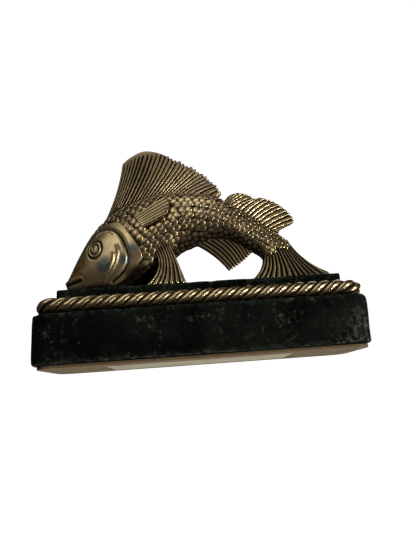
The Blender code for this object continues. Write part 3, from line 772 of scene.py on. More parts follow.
class Graph:
    """A geometry node tree with named inputs."""

    def __init__(self, name, inputs):
        self.tree = bpy.data.node_groups.new(name, "GeometryNodeTree")
        self.tree.interface.new_socket("Geometry", in_out="INPUT", socket_type="NodeSocketGeometry")
        self.sockets = {}
        for label, kind, default in (*inputs, ("Material", "NodeSocketMaterial", None)):
            made = self.tree.interface.new_socket(label, in_out="INPUT", socket_type=kind)
            if default is not None:
                made.default_value = default
            self.sockets[label] = made.identifier
        self.tree.interface.new_socket("Geometry", in_out="OUTPUT", socket_type="NodeSocketGeometry")
        self.start = self.tree.nodes.new("NodeGroupInput")
        self.end = self.tree.nodes.new("NodeGroupOutput")

    def add(self, kind, settings=None, **links):
        """Add a node and hand back its first output. An input is named, or iN for the one in place N."""
        made = self.tree.nodes.new(kind)
        for key, value in (settings or {}).items():
            setattr(made, key, value)
        for key, value in links.items():
            by_place = key[0] == "i" and key[1:].isdigit()
            socket = made.inputs[int(key[1:]) if by_place else key.replace("_", " ")]
            if isinstance(value, bpy.types.NodeSocket):
                self.tree.links.new(value, socket)
            else:
                socket.default_value = value
        return made.outputs[0]

    def math(self, operation, first, second):
        return self.add("ShaderNodeMath", {"operation": operation}, i0=first, i1=second)

    def stored(self, name, kind):
        return self.add("GeometryNodeInputNamedAttribute", {"data_type": kind}, Name=name)

    def given(self, label):
        return self.start.outputs[label]

    def finish(self, geometry):
        real = self.add("GeometryNodeRealizeInstances", Geometry=geometry)
        painted = self.add("GeometryNodeSetMaterial", Geometry=real, Material=self.given("Material"))
        self.tree.links.new(painted, self.end.inputs[0])
        return self


def grow(graph, seed_object, name, values):
    """Run a geometry node tree on an object and keep the result as a plain mesh object."""
    step = seed_object.modifiers.new("grow", "NODES")
    step.node_group = graph.tree
    for label, value in values.items():
        step[graph.sockets[label]] = value
    bpy.context.view_layer.update()
    grown = seed_object.evaluated_get(bpy.context.evaluated_depsgraph_get())
    mesh = bpy.data.meshes.new_from_object(grown)
    mesh.name = name
    seed_object.modifiers.remove(step)
    bpy.data.objects.remove(seed_object)
    mesh.shade_smooth()
    return linked(name, mesh)


def scale_graph():
    """A flat-topped domed scale on every point, its free edge lifted towards the tail."""
    graph = Graph("scale_cover", (
        ("Half length", "NodeSocketFloat", 0.55),
        ("Half width", "NodeSocketFloat", 0.5),
        ("Dome height", "NodeSocketFloat", 0.2),
        ("Dome flatness", "NodeSocketFloat", 0.7),
        ("Lift angle", "NodeSocketFloat", 0.2),
    ))
    ball = graph.add("GeometryNodeMeshUVSphere", Segments=14, Rings=8, Radius=1.0)
    x, y, z = graph.add("ShaderNodeSeparateXYZ", Vector=graph.add("GeometryNodeInputPosition")).node.outputs
    top = graph.math("MAXIMUM", z, 0.0)
    flat = graph.math("POWER", top, graph.given("Dome flatness"))
    height = graph.math("ADD", flat, graph.math("MINIMUM", z, 0.0))
    moved = graph.add("ShaderNodeCombineXYZ", X=x, Y=y, Z=height)
    dome = graph.add("GeometryNodeSetPosition", Geometry=ball, Position=moved)
    marked = graph.add("GeometryNodeStoreNamedAttribute", {"data_type": "FLOAT", "domain": "POINT"},
                       Geometry=dome, Name="relief", Value=top)
    size = graph.add("ShaderNodeCombineXYZ", X=graph.given("Half length"), Y=graph.given("Half width"),
                     Z=graph.given("Dome height"))
    shaped = graph.add("GeometryNodeTransform", Geometry=marked, Scale=size)
    aim = graph.add("FunctionNodeAxesToRotation", {"primary_axis": "Z", "secondary_axis": "X"},
                    Primary_Axis=graph.stored("facing", "FLOAT_VECTOR"),
                    Secondary_Axis=graph.stored("way", "FLOAT_VECTOR"))
    spread = graph.add("GeometryNodeInstanceOnPoints", Points=graph.given("Geometry"), Instance=shaped,
                       Rotation=aim, Scale=graph.stored("scale_width", "FLOAT"))
    tilt = graph.add("ShaderNodeCombineXYZ", Y=graph.math("MULTIPLY", graph.given("Lift angle"), -1.0))
    return graph.finish(graph.add("GeometryNodeRotateInstances", Instances=spread, Rotation=tilt))


def belly_shade(facings):
    """How much painted shade a surface that faces down gets, from 0 to 1."""
    return smoothstep(-facings[..., 2] / np.linalg.norm(facings, axis=-1), 0.10, 0.80)


def make_scales(settings, colours):
    """Separate domed scales from the gill covers to the tail, grown on points spread over the body."""
    places, facings, ways, widths = scale_seeds(settings)
    # Each seed carries its width and how much painted shade its scale gets from facing down
    seeds = new_piece("scale_seeds", placed(places), [],
                      {"scale_width": widths * MM, "shade": belly_shade(facings)})
    add_layer(seeds.data, "facing", facings, "FLOAT_VECTOR", "vector")
    add_layer(seeds.data, "way", ways, "FLOAT_VECTOR", "vector")
    material = antique_brass("scale_brass", colours, 0.10, 0.50, THROAT_SHADE, ringed=True)
    scales = grow(scale_graph(), seeds, "fish_scales", {
        "Half length": settings.scale_length, "Half width": settings.scale_width,
        "Dome height": settings.scale_dome, "Dome flatness": settings.scale_flatness,
        "Lift angle": settings.scale_lift, "Material": material})
    deliver(scales, material, "antique_brass", "fish_casting")


# ---------------------------------------------------------------- fins

# A rib's width as a share of its place and how far that varies, the space in drawn millimetres over which
# ribs rise, and how far they stand out where there is no room for them
RIB_SHARE, RIB_CHANGE = 0.77, 0.10
RIB_ROOM, MERGED_RIBS = (0.55, 1.15), 0.62


def domed(offset, depth=1.0):
    """A round crest: 1 where the offset is 0, falling as it nears 1."""
    return np.sqrt(np.clip(1 - offset**2 * depth, 0.0, 1.0))


def crest_offset(share, ribs):
    """0 on the crest of each rib, 1 in the grooves beside it."""
    return np.abs(2 * ((share * ribs) % 1.0) - 1)


def ribbed_fin(name, root, edge, bow, ribs, half, scallop, thin_sides=0.0, rim=0.0, pinch=(0.0, 0.5, 1.0),
               ragged=0.0, meets=((0.0, 0.0), (1.0, 1.0)), steps=10, rows=28):
    """A fin of rounded ribs that run from its root to a scalloped edge, with narrow grooves between them."""
    columns = ribs * steps + 1
    share = np.linspace(0.0, 1.0, columns)
    links = smooth_curve(meets, 200)
    root_share = np.interp(share, links[:, 0], links[:, 1])
    root_line = resampled(root_share, np.linspace(0.0, 1.0, 400), smooth_curve(root, 400))
    edge_line = smooth_curve(edge, columns)
    sideways = resampled(share, (0.0, 0.5, 1.0), bow)

    number = np.minimum((share * ribs).astype(int), ribs - 1)
    offset = crest_offset(share, ribs)
    offset[[0, -1]] = 1.0
    pinched, where, wide = pinch
    fat = RIB_SHARE + RIB_CHANGE * np.sin(number * 2.3) - pinched * bump_shape(share - where, wide)
    ridge = domed(offset / fat)
    from_side = np.minimum(share, 1 - share) * ribs
    ridge = np.where(from_side < 0.5, np.maximum(ridge, smoothstep(from_side, -0.2, 0.5)), ridge)

    t = 1 - (1 - np.linspace(0.0, 1.0, rows)) ** 1.5
    under_rim = (1 - smoothstep(share, rim - 0.06, rim + 0.03))[:, None] * (rim > 0)
    closed = smoothstep(t, 0.90, 0.94)[None, :] * under_rim
    ridge_map = ridge[:, None] * (1 - closed) + 0.80 * closed

    depth, begin = scallop
    rib_length = np.linalg.norm(edge_line - root_line, axis=1)
    begun = smoothstep(share, begin, begin + 0.12)
    tips = (depth * (ridge - 1.0) * begun / rib_length
            + ragged * np.sin(number * 1.9) * begun / rib_length)
    reach = (1 + tips)[:, None] * t[None, :]
    middle = (root_line[:, None, :] * (1 - reach)[..., None] + edge_line[:, None, :] * reach[..., None]
              + sideways[:, None, :] * (4 * reach * (1 - reach))[..., None])

    over, out = np.gradient(middle, axis=0) * steps, np.gradient(middle, axis=1)
    spacing = np.linalg.norm(np.cross(over, out), axis=2) / np.linalg.norm(out, axis=2)
    room = smoothstep(spacing, *RIB_ROOM)
    ridge_map = ridge_map * room + MERGED_RIBS * (1 - room)

    fullness = 1 - thin_sides * (2 * share - 1) ** 2
    thickness = (half[0] * (1 - t) + half[1] * t)[None, :] * fullness[:, None]
    groove = np.minimum(0.75, 0.5 * thickness)
    wave = 1 + 0.08 * np.sin(t[None, :] * 23.0 + number[:, None] * 5.0)
    thickness = thickness - groove * (1 - ridge_map * wave)
    edge_round = domed(np.clip(t - 0.94, 0, None) / 0.06, 0.8)
    side_round = domed(np.clip(0.5 - from_side, 0.0, None) / 0.5, 0.85)
    thickness = thickness * edge_round[None, :] * side_round[:, None]
    outward = np.array((0.0, 1.0, 0.0)) * thickness[..., None]
    shown = np.clip(ridge_map * (0.25 + 0.75 * smoothstep(t, 0.02, 0.22))[None, :], 0.0, 1.0)
    return closed_leaf(name, middle - outward, middle + outward, shown, shown)


def make_fins(settings, colours):
    """The fins and the tail, each a piece of its own."""
    material = antique_brass("fin_brass", colours, 0.42, 1.0, FIN_DARKER_PLACES)
    for name, shape in FINS.items():
        fin = ribbed_fin(name, steps=settings.rib_steps, **shape)
        deliver(fin, material, "antique_brass", "fish_casting")


def flank(x, h, sections):
    """Half width of the body at a drawn point x, h."""
    reach = (sections[:, 0:2] - sections[:, 2:4]) / 2
    offset = np.array((x, h)) - (sections[:, 0:2] + sections[:, 2:4]) / 2
    side = reach[:, 0] * offset[:, 1] - reach[:, 1] * offset[:, 0]
    nearest = int(np.argmin(np.abs(side) / np.linalg.norm(reach, axis=1)))
    along = float(np.dot(offset[nearest], reach[nearest]) / np.dot(reach[nearest], reach[nearest]))
    return float(sections[nearest, 4]) * math.sqrt(max(0.0, 1 - along**2))


def make_pectorals(settings, colours):
    """A thin leaf on each flank with fine ribs, and a raised rim along its tip and lower edge."""
    material = antique_brass("pectoral_brass", colours)
    sections = smooth_curve(SECTIONS, 400)
    ribs, steps, rows = settings.pectoral_ribs, 8, 34
    columns = ribs * steps + 1
    root, tip = smooth_curve(PECTORAL_ROOT, columns), smooth_curve(PECTORAL_TIP, columns)
    share = np.linspace(0.0, 1.0, columns)
    t = np.linspace(0.0, 1.0, rows)
    ridge = domed(crest_offset(share, ribs) / 0.85)
    from_tip = (1 - t) * PECTORAL_LENGTH
    border = np.minimum.outer(np.minimum(share, 1 - share) * PECTORAL_WIDTH, from_tip)
    rim = bump_shape(np.minimum.outer((1 - share) * PECTORAL_WIDTH, from_tip) - 0.45, 0.38)
    rim = rim * smoothstep(share, 0.35, 0.6)[:, None]
    raised = ridge[:, None] * smoothstep(t, 0.02, 0.3)[None, :]
    lift = (0.75 + 0.32 * raised * (1 - rim) + 0.95 * rim) * domed(np.clip(1 - border / 0.4, 0, 1), 0.9)
    shown = np.clip(0.25 + 0.6 * ridge[:, None] + 0.9 * rim, 0, 1)
    for side, sign in (("left", -1), ("right", 1)):
        inner = np.empty((columns, rows, 3))
        for c in range(columns):
            for r in range(rows):
                x, h = root[c] * (1 - t[r]) + tip[c] * t[r]
                h += PECTORAL_BOW * share[c] * 4 * t[r] * (1 - t[r])
                inner[c, r] = (x, sign * (flank(x, h, sections) + 0.3 + 0.5 * t[r]), h)
        outer = inner + np.array((0.0, sign, 0.0)) * lift[..., None]
        buried = inner - np.array((0.0, sign * 0.6, 0.0))
        fin = closed_leaf("pectoral_leaf_" + side, buried, outer, 0.5 * shown, shown)
        deliver(fin, material, "antique_brass", "pectoral_fin_" + side)


# ---------------------------------------------------------------- rope

STRAND_COUNT = 3


def rope_path(distance, half_x, half_y, corner):
    """Point and outward normal at a distance along the rope's axis, from the middle of the back, running
    counter-clockwise seen from above."""
    flat_x, flat_y = half_x - corner, half_y - corner
    quarter = math.pi / 2 * corner
    stretches = (
        (flat_x, (0, half_y), (-1, 0)), (quarter, (-flat_x, flat_y), 90),
        (2 * flat_y, (-half_x, flat_y), (0, -1)), (quarter, (-flat_x, -flat_y), 180),
        (2 * flat_x, (-flat_x, -half_y), (1, 0)), (quarter, (flat_x, -flat_y), 270),
        (2 * flat_y, (half_x, -flat_y), (0, 1)), (quarter, (flat_x, flat_y), 360),
        (flat_x + corner, (flat_x, half_y), (-1, 0)),
    )
    for length, start, way in stretches:
        if distance <= length:
            break
        distance -= length
    if isinstance(way, tuple):
        return np.array(start) + np.array(way) * distance, np.array((way[1], -way[0]), float)
    angle = math.radians(way) + distance / corner
    normal = np.array((math.cos(angle), math.sin(angle)))
    return np.array(start) + corner * normal, normal


def strand_graph():
    """A round tube along the line that it is given, closed at both ends."""
    graph = Graph("rope_strand", (
        ("Strand radius", "NodeSocketFloat", 0.0014),
        ("Sides", "NodeSocketInt", 14),
    ))
    line = graph.add("GeometryNodeMeshToCurve", Mesh=graph.given("Geometry"))
    profile = graph.add("GeometryNodeCurvePrimitiveCircle", Resolution=graph.given("Sides"),
                        Radius=graph.given("Strand radius"))
    tube = graph.add("GeometryNodeCurveToMesh", Curve=line, Profile_Curve=profile, Fill_Caps=True)
    return graph.finish(tube)


def make_rope(settings, colours):
    """Three strands laid up left-handed round the upper plate, joined at the middle of the back."""
    low, high = STRANDS
    radius = (high.z - low.z) / 2
    half_x, half_y = high.x - radius, high.y - radius
    corner = radius + settings.rope_corner
    axis_height = (high.z + low.z) / 2
    length = 4 * (half_x + half_y) - 8 * corner + math.tau * corner
    turns = round(length / settings.rope_lay)
    strand_radius = settings.strand_share * radius
    coil = radius - strand_radius
    steps = turns * settings.rope_steps
    gap = settings.rope_joint
    material = antique_brass("rope_brass", colours, 0.42, 1.0)
    graph = strand_graph()
    for number in range(STRAND_COUNT):
        line = []
        for step in range(steps + 1):
            distance = gap / 2 + (length - gap) * step / steps
            point, normal = rope_path(distance, half_x, half_y, corner)
            angle = math.tau * (number / STRAND_COUNT + turns * distance / length)
            out = point + normal * coil * math.cos(angle)
            line.append((out[0], out[1], axis_height + coil * math.sin(angle)))
        seed = bpy.data.meshes.new("strand_line")
        seed.from_pydata(line, [(i, i + 1) for i in range(steps)], [])
        piece = grow(graph, linked("strand_line", seed), "laid_strand_%d" % (number + 1), {
            "Strand radius": strand_radius, "Sides": settings.strand_sides, "Material": material})
        points = np.empty(len(piece.data.vertices) * 3)
        piece.data.vertices.foreach_get("co", points)
        points = points.reshape(-1, 3)
        across = np.maximum(np.abs(points[:, :2]) - np.array((half_x - corner, half_y - corner)), 0.0)
        beside = np.hypot(across[:, 0], across[:, 1]) - corner
        from_axis = np.hypot(beside, points[:, 2] - axis_height) / radius
        add_layer(piece.data, "relief", smoothstep(from_axis, 0.62, 0.93))
        deliver(piece, material, "rope_brass", "rope_strand_%d" % (number + 1))


# ---------------------------------------------------------------- stone, pad, label and fasteners

# Space between the points of a slab, the range of its chips' sizes and of their depths as a share of their
# size, and the reach of a knocked corner
STONE_STEP = 0.0011
CHIP_SIZES, CHIP_DEPTHS = (0.0005, 0.0020), (0.10, 0.26)
KNOCK_REACH = 0.010


def rounded_outline(half_x, half_y, corner, step):
    """Points round a rectangle with round corners: the centre that each is offset from and its way out."""
    flat_x, flat_y = half_x - corner, half_y - corner
    arc_steps = max(6, round(corner / step * 1.6))
    rows = []
    for turn, (sx, sy) in enumerate(((1, 1), (-1, 1), (-1, -1), (1, -1))):
        for k in range(arc_steps):
            angle = math.pi / 2 * (turn + k / arc_steps)
            rows.append((sx * flat_x, sy * flat_y, math.cos(angle), math.sin(angle)))
        end = ((-1, 1), (-1, -1), (1, -1), (1, 1))[turn]
        along = flat_x if turn % 2 == 0 else flat_y
        count = max(2, round(2 * along / step))
        angle = math.pi / 2 * (turn + 1)
        for k in range(count):
            t = k / count
            centre = (flat_x * (sx + (end[0] - sx) * t), flat_y * (sy + (end[1] - sy) * t))
            rows.append((*centre, math.cos(angle), math.sin(angle)))
    return np.array(rows)


def worn_slab(name, box, corner, edge, chips, seed, knocks=()):
    """A stone slab with round corners, softened edges and small chips along them, never outside its box. A
    knock is a place and the depth lost there."""
    low, high = box
    half_x, half_y, tall = (high.x - low.x) / 2, (high.y - low.y) / 2, high.z - low.z
    outline = rounded_outline(half_x, half_y, corner, STONE_STEP)
    count = len(outline)
    bend = [(edge * (1 - math.sin(a)), edge * (1 - math.cos(a))) for a in np.radians(np.linspace(0, 90, 6))]
    wall = [(0.0, z) for z in np.linspace(edge, tall - edge, max(4, round(tall / STONE_STEP)))]
    levels = bend[:-1] + wall + [(inset, tall - z) for inset, z in bend[-2::-1]]
    rings = []
    for inset, z in levels:
        across = outline[:, :2] + outline[:, 2:] * (corner - inset)
        rings.append(np.column_stack((across, np.full(count, z))))
    shrink = np.linspace(1.0, 0.0, 16)[1:-1] ** 1.3
    under = [rings[0] * (k, k, 1.0) for k in shrink[::-1]]
    over = [rings[-1] * (k, k, 1.0) for k in shrink]
    edge_wear = [bump_shape(min(z, tall - z), 1.4 * edge) for _, z in levels]
    wear = np.repeat([0.0] * len(under) + edge_wear + [0.0] * len(over), count)
    points = np.concatenate(under + rings + over)

    rng = np.random.default_rng(seed)
    inward = -points / (half_x, half_y, tall / 2) + (0.0, 0.0, 1.0)
    inward /= np.linalg.norm(inward, axis=1, keepdims=True) + 1e-9
    push = np.zeros(len(points))
    for _ in range(chips):
        level = (len(under) + 2, len(under) + len(rings) - 3)[rng.integers(0, 2)]
        spot = points[level * count + rng.integers(0, count)]
        size = rng.uniform(*CHIP_SIZES)
        close = bump_shape(np.linalg.norm(points - spot, axis=1), size)
        push = np.maximum(push, close * size * rng.uniform(*CHIP_DEPTHS))
    for spot, depth in knocks:
        push = push + bump_shape(np.linalg.norm(points - spot, axis=1), KNOCK_REACH) * depth
    points = points + inward * push[:, None]
    wear = np.clip(wear * 0.45 + push / 0.0003 * 0.6, 0.0, 1.0)

    faces = fanned_faces(len(points) // count, count)
    centre = ((high.x + low.x) / 2, (high.y + low.y) / 2, low.z)
    points = np.vstack((points, (0, 0, 0), (0, 0, tall))) + centre
    piece = new_piece(name, points, faces, {"wear": np.concatenate((wear, (0, 0)))})
    turn_outward(piece)
    return piece


def make_stone(settings, colours):
    """The block, knocked at its lower right corner, and the plate, which stands a little above its solid."""
    material = dark_stone("dark_stone", colours)
    lower_right = ((BLOCK[1].x - BLOCK[0].x) / 2, -(BLOCK[1].y - BLOCK[0].y) / 2, 0.0)
    block = worn_slab("stone_block", BLOCK, settings.block_corner, settings.stone_edge, settings.chips, 7,
                      ((lower_right, settings.corner_knock),))
    deliver(block, material, "dark_stone", "lower_block")
    raised = (PLATE[0], PLATE[1] + Vector((0.0, 0.0, settings.plate_rise)))
    plate = worn_slab("stone_plate", raised, settings.plate_corner, settings.stone_edge * 0.6,
                      settings.chips // 2, 11)
    deliver(plate, material, "dark_stone", "upper_plate")


def repaint(node, material):
    """Give a solid, which is shown as it is, its finish."""
    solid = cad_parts[node]
    solid.data.materials.clear()
    solid.data.materials.append(material)
    return solid


def make_underside(colours):
    """The felt pad and the paper label."""
    pad = repaint("base_pad", pressed_felt("brown_felt", colours))
    repaint("paper_label", aged_paper("cream_paper", colours))


def make_fasteners(colours):
    """The studs, washers and nuts."""
    material = plated_steel("plated_steel", colours)
    for end in ("head", "tail"):
        for kind in ("stud", "washer", "nut"):
            repaint(end + "_" + kind, material)


# ---------------------------------------------------------------- stage

# Each light: where it stands, what it points at and how wide it is
FIGURE_MIDDLE = (0.0, 0.0, 0.05)
LIGHTS = {
    "key": ((0.50, -0.42, -0.03), FIGURE_MIDDLE, 0.06),
    "top": ((-0.10, -0.25, 0.70), FIGURE_MIDDLE, 0.45),
    "front": ((-0.30, -0.60, 0.35), FIGURE_MIDDLE, 0.50),
    "rear": ((0.3, 0.55, 0.4), FIGURE_MIDDLE, 0.5),
    "under": ((0.0, -0.005, -0.50), (0.0, 0.0, 0.0), 0.06),
    "low": ((0.36, -0.40, -0.30), FIGURE_MIDDLE, 0.05),
}
# The sweep: half its width, the radius of its bend and the height of its wall, in metres
SWEEP_SIDE, SWEEP_BEND, SWEEP_TOP = 2.5, 0.4, 2.6


def make_lights(stage):
    """Soft round lights, each with the power that the stage gives it."""
    for name, (place, target, size) in LIGHTS.items():
        lamp = bpy.data.lights.new(name, "AREA")
        lamp.shape = "DISK"
        lamp.size = size
        lamp.energy = getattr(stage, name + "_power")
        holder = linked(name, lamp)
        holder.location = place
        holder.rotation_euler = (Vector(target) - Vector(place)).to_track_quat("-Z", "Y").to_euler()


def make_backdrop(stage, colours):
    """A pale sweep: a floor below the figure that curves up into a wall far behind it."""
    floor, back = -stage.floor_drop, stage.wall_distance
    line = [(-SWEEP_SIDE, floor)]
    for angle in np.radians(np.linspace(0.0, 90.0, 13)):
        line.append((back - SWEEP_BEND * (1 - math.sin(angle)), floor + SWEEP_BEND * (1 - math.cos(angle))))
    line.append((back, SWEEP_TOP))
    points = [(x, y, z) for x in (-SWEEP_SIDE, SWEEP_SIDE) for y, z in line]
    count = len(line)
    faces = [[i, i + count, i + count + 1, i + 1] for i in range(count - 1)]
    sweep = new_piece("pale_sweep", points, faces)
    sweep.data.materials.append(pale_backdrop(colours))
    sweep.visible_diffuse = False
    sweep.visible_glossy = False
    sweep.visible_shadow = False


def make_world(stage):
    """White air behind everything, which lights the figure only faintly."""
    world = bpy.data.worlds.new("studio_air")
    world.use_nodes = True
    nodes, links = world.node_tree.nodes, world.node_tree.links
    background = nodes["Background"]
    background.inputs["Color"].default_value = (1.0, 1.0, 1.0, 1.0)
    ray = nodes.new("ShaderNodeLightPath")
    strength = nodes.new("ShaderNodeMapRange")
    strength.inputs["To Min"].default_value = stage.air_light
    strength.inputs["To Max"].default_value = 1.0
    links.new(ray.outputs["Is Camera Ray"], strength.inputs["Value"])
    links.new(strength.outputs["Result"], background.inputs["Strength"])
    bpy.context.scene.world = world


def make_camera(stage):
    """The camera, turned by its yaw, pitch and roll."""
    camera = bpy.data.cameras.new("camera")
    camera.lens = stage.lens
    camera.sensor_width = 36.0
    camera.clip_start = 0.005
    holder = linked("camera", camera)
    yaw, pitch, roll = stage.camera_turn
    turn = (Matrix.Rotation(yaw, 3, "Z") @ Matrix.Rotation(pitch, 3, "X") @ Matrix.Rotation(roll, 3, "Y")
            @ Matrix.Rotation(math.pi / 2, 3, "X"))
    holder.matrix_world = Matrix.Translation(Vector(stage.camera_place)) @ turn.to_4x4()
    bpy.context.scene.camera = holder


# ---------------------------------------------------------------- settings, operators and panel


def length_setting(name, description, default):
    return FloatProperty(name=name, description=description, default=default, unit="LENGTH", precision=5)


def count_setting(name, description, default):
    return IntProperty(name=name, description=description, default=default, min=1)


def ratio_setting(name, description, default):
    return FloatProperty(name=name, description=description, default=default, precision=3)


def power_setting(name, description, default):
    return FloatProperty(name=name, description=description, default=default, min=0.0, unit="POWER")


def colour_setting(name, description, default):
    return FloatVectorProperty(name=name, description=description, default=default, size=3, subtype="COLOR",
                               min=0.0, max=1.0)


class FishSettings(bpy.types.PropertyGroup):
    """Sizes of the fish's carving."""

    seed: IntProperty(name="Seed", description="Seed for the scales' small irregularities", default=4)
    head_rows: count_setting("Head rows", "Rows of points over the head", 230)
    rear_rows: count_setting("Rear rows", "Rows of points over the scaled body", 70)
    body_columns: count_setting("Body columns", "Points round the body", 260)
    scale_front: ratio_setting("Front scale", "Scale width at the snout end, in drawn millimetres", 3.15)
    scale_rear: ratio_setting("Rear scale", "Scale width at the tail, in drawn millimetres", 2.05)
    scale_start: FloatProperty(name="First scales", description="Share of the body before the first column",
                               default=0.17, subtype="FACTOR")
    scale_step: ratio_setting("Column step", "Distance between columns, in scale widths", 0.60)
    scale_rounds: count_setting("Spreading rounds", "Passes that space the scales evenly", 45)
    scale_length: ratio_setting("Scale half length", "In scale widths", 0.69)
    scale_width: ratio_setting("Scale half width", "In scale widths", 0.62)
    scale_dome: ratio_setting("Dome height", "In scale widths", 0.22)
    scale_flatness: ratio_setting("Dome flatness", "1 is round, less is flatter", 0.55)
    scale_lift: FloatProperty(name="Scale lift", description="Tilt of the free edge",
                              default=math.radians(12), subtype="ANGLE")
    scale_unevenness: ratio_setting("Unevenness", "Scatter of place and tilt", 0.035)
    rib_steps: count_setting("Rib steps", "Points across a rib", 10)
    pectoral_ribs: count_setting("Pectoral ribs", "Ribs on each pectoral fin", 7)


class BaseSettings(bpy.types.PropertyGroup):
    """Sizes of the base."""

    rope_lay: length_setting("Rope lay", "Length of one turn of the rope", 0.0147)
    rope_corner: length_setting("Rope corner", "Inner radius of the rope's corners", 0.0018)
    rope_joint: length_setting("Rope joint", "Gap between the rope's ends", 0.0004)
    rope_steps: count_setting("Rope steps", "Points for each turn of a strand", 20)
    strand_share: ratio_setting("Strand share", "Strand radius over rope radius", 0.515)
    strand_sides: count_setting("Strand sides", "Points round a strand", 16)
    block_corner: length_setting("Block corner", "Radius of the block's upright corners", 0.008)
    plate_corner: length_setting("Plate corner", "Radius of the plate's upright corners", 0.0015)
    stone_edge: length_setting("Stone edge", "Radius of the softened edges", 0.0008)
    plate_rise: length_setting("Plate rise", "How far the plate stands round the fins' feet", 0.0007)
    corner_knock: length_setting("Corner knock", "Depth lost at the block's lower right corner", 0.0012)
    chips: count_setting("Chips", "Small chips along the block's edges", 70)


class FinishSettings(bpy.types.PropertyGroup):
    """Colours of the finishes."""

    brass: colour_setting("Brass", "Polished brass", (0.60, 0.45, 0.225))
    worn_brass: colour_setting("Worn brass", "Tarnished brass", (0.43, 0.315, 0.175))
    patina: colour_setting("Patina", "Dark patina in the recesses", (0.010, 0.007, 0.003))
    copper_stain: colour_setting("Copper stain", "Reddish stain near the snout", (0.42, 0.17, 0.05))
    blue_stain: colour_setting("Blue stain", "Bluish tint on the cheek", (0.10, 0.17, 0.18))
    stone: colour_setting("Stone", "Ground of the stone", (0.0020, 0.0026, 0.0020))
    stone_light: colour_setting("Light stone", "Lighter clouds in the stone", (0.0065, 0.0085, 0.0060))
    stone_fleck: colour_setting("Stone fleck", "Pale flecks and worn edges", (0.16, 0.17, 0.13))
    felt: colour_setting("Felt", "Base pad", (0.17, 0.108, 0.046))
    felt_dark: colour_setting("Dark felt", "Soiled felt", (0.098, 0.060, 0.025))
    paper: colour_setting("Paper", "Label", (0.38, 0.355, 0.25))
    paper_stain: colour_setting("Paper stain", "Stained label", (0.26, 0.22, 0.13))
    steel: colour_setting("Steel", "Plated steel", (0.55, 0.55, 0.53))
    steel_dull: colour_setting("Dull steel", "Tarnished plating", (0.35, 0.35, 0.34))
    floor: colour_setting("Floor", "Backdrop", (0.80, 0.80, 0.80))


class StageSettings(bpy.types.PropertyGroup):
    """Camera, backdrop and light."""

    lens: ratio_setting("Lens", "Focal length in millimetres", 28.06)
    camera_place: FloatVectorProperty(name="Camera place", description="Where the camera stands",
                                      default=(-0.00525, -0.17852, -0.01283), subtype="TRANSLATION")
    camera_turn: FloatVectorProperty(name="Camera turn", description="Yaw, pitch and roll", subtype="EULER",
                                     default=[math.radians(a) for a in (-2.913, 15.043, 4.312)])
    floor_drop: length_setting("Floor drop", "Floor below the figure", 0.06)
    wall_distance: length_setting("Wall distance", "Backdrop behind the figure", 1.4)
    air_light: ratio_setting("Air light", "Strength of the light from all round", 0.045)
    key_power: power_setting("Key light", "From the right, at the foot's height", 3.1)
    top_power: power_setting("Top light", "From above", 0.7)
    front_power: power_setting("Front light", "From the front left", 0.8)
    rear_power: power_setting("Rear light", "From behind", 1.5)
    under_power: power_setting("Under light", "On the pad and label", 2.1)
    low_power: power_setting("Low light", "From below on the right", 0.4)


class FIGURE_OT_body(bpy.types.Operator):
    """Make the fish's body with its carved head"""

    bl_idname = "figure.body"
    bl_label = "Body and head"

    def execute(self, context):
        make_body(context.scene.figure_fish, context.scene.figure_finish)
        return {"FINISHED"}


class FIGURE_OT_scales(bpy.types.Operator):
    """Cover the body with overlapping scales"""

    bl_idname = "figure.scales"
    bl_label = "Scales"

    def execute(self, context):
        make_scales(context.scene.figure_fish, context.scene.figure_finish)
        return {"FINISHED"}


class FIGURE_OT_fins(bpy.types.Operator):
    """Make the ribbed fins and the tail"""

    bl_idname = "figure.fins"
    bl_label = "Fins and tail"

    def execute(self, context):
        make_fins(context.scene.figure_fish, context.scene.figure_finish)
        return {"FINISHED"}


class FIGURE_OT_pectorals(bpy.types.Operator):
    """Make the leaf-shaped pectoral fins"""

    bl_idname = "figure.pectorals"
    bl_label = "Pectoral fins"

    def execute(self, context):
        make_pectorals(context.scene.figure_fish, context.scene.figure_finish)
        return {"FINISHED"}


class FIGURE_OT_rope(bpy.types.Operator):
    """Lay the three strands of the rope border"""

    bl_idname = "figure.rope"
    bl_label = "Rope border"

    def execute(self, context):
        make_rope(context.scene.figure_base, context.scene.figure_finish)
        return {"FINISHED"}


class FIGURE_OT_stone(bpy.types.Operator):
    """Make the stone block and plate"""

    bl_idname = "figure.stone"
    bl_label = "Stone base"

    def execute(self, context):
        make_stone(context.scene.figure_base, context.scene.figure_finish)
        return {"FINISHED"}


class FIGURE_OT_underside(bpy.types.Operator):
    """Finish the base pad and its label"""

    bl_idname = "figure.underside"
    bl_label = "Pad and label"

    def execute(self, context):
        make_underside(context.scene.figure_finish)
        return {"FINISHED"}


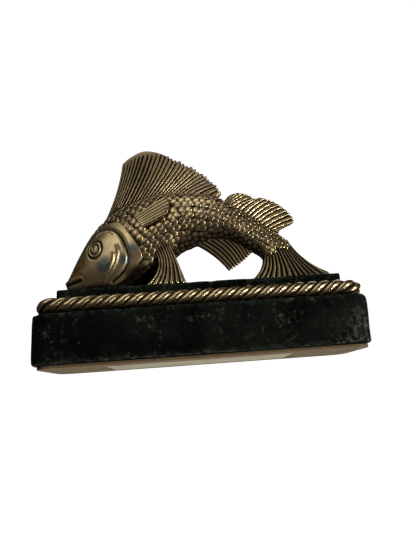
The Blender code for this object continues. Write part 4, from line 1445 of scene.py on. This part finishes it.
class FIGURE_OT_fasteners(bpy.types.Operator):
    """Finish the studs, washers and nuts"""

    bl_idname = "figure.fasteners"
    bl_label = "Fasteners"

    def execute(self, context):
        make_fasteners(context.scene.figure_finish)
        return {"FINISHED"}


class FIGURE_OT_stage(bpy.types.Operator):
    """Set up the backdrop, the light and the camera"""

    bl_idname = "figure.stage"
    bl_label = "Studio"

    def execute(self, context):
        stage = context.scene.figure_stage
        make_backdrop(stage, context.scene.figure_finish)
        make_world(stage)
        make_lights(stage)
        make_camera(stage)
        context.scene.view_settings.view_transform = "Standard"
        return {"FINISHED"}


OPERATORS = (FIGURE_OT_stage, FIGURE_OT_body, FIGURE_OT_scales, FIGURE_OT_fins, FIGURE_OT_pectorals,
             FIGURE_OT_rope, FIGURE_OT_stone, FIGURE_OT_underside, FIGURE_OT_fasteners)


class FIGURE_PT_panel(bpy.types.Panel):
    """Fish figure"""

    bl_idname = "FIGURE_PT_panel"
    bl_label = "Fish figure"
    bl_space_type = "VIEW_3D"
    bl_region_type = "UI"
    bl_category = "Fish figure"

    def draw(self, context):
        layout = self.layout
        for title, group in (("Fish", "figure_fish"), ("Base", "figure_base"), ("Finishes", "figure_finish"),
                             ("Stage", "figure_stage")):
            box = layout.box()
            box.label(text=title)
            settings = getattr(context.scene, group)
            for key in settings.__annotations__:
                box.prop(settings, key)
        for operator in OPERATORS:
            layout.operator(operator.bl_idname)


GROUPS = {"figure_fish": FishSettings, "figure_base": BaseSettings, "figure_finish": FinishSettings,
          "figure_stage": StageSettings}


def register():
    for made in (*GROUPS.values(), *OPERATORS, FIGURE_PT_panel):
        bpy.utils.register_class(made)
    for key, group in GROUPS.items():
        setattr(bpy.types.Scene, key, PointerProperty(type=group))


def unregister():
    for key in GROUPS:
        delattr(bpy.types.Scene, key)
    for made in (FIGURE_PT_panel, *OPERATORS[::-1], *list(GROUPS.values())[::-1]):
        bpy.utils.unregister_class(made)


def main():
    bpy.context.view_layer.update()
    register()
    for operator in OPERATORS:
        group, name = operator.bl_idname.split(".")
        getattr(getattr(bpy.ops, group), name)()


if __name__ == "__main__":
    main()
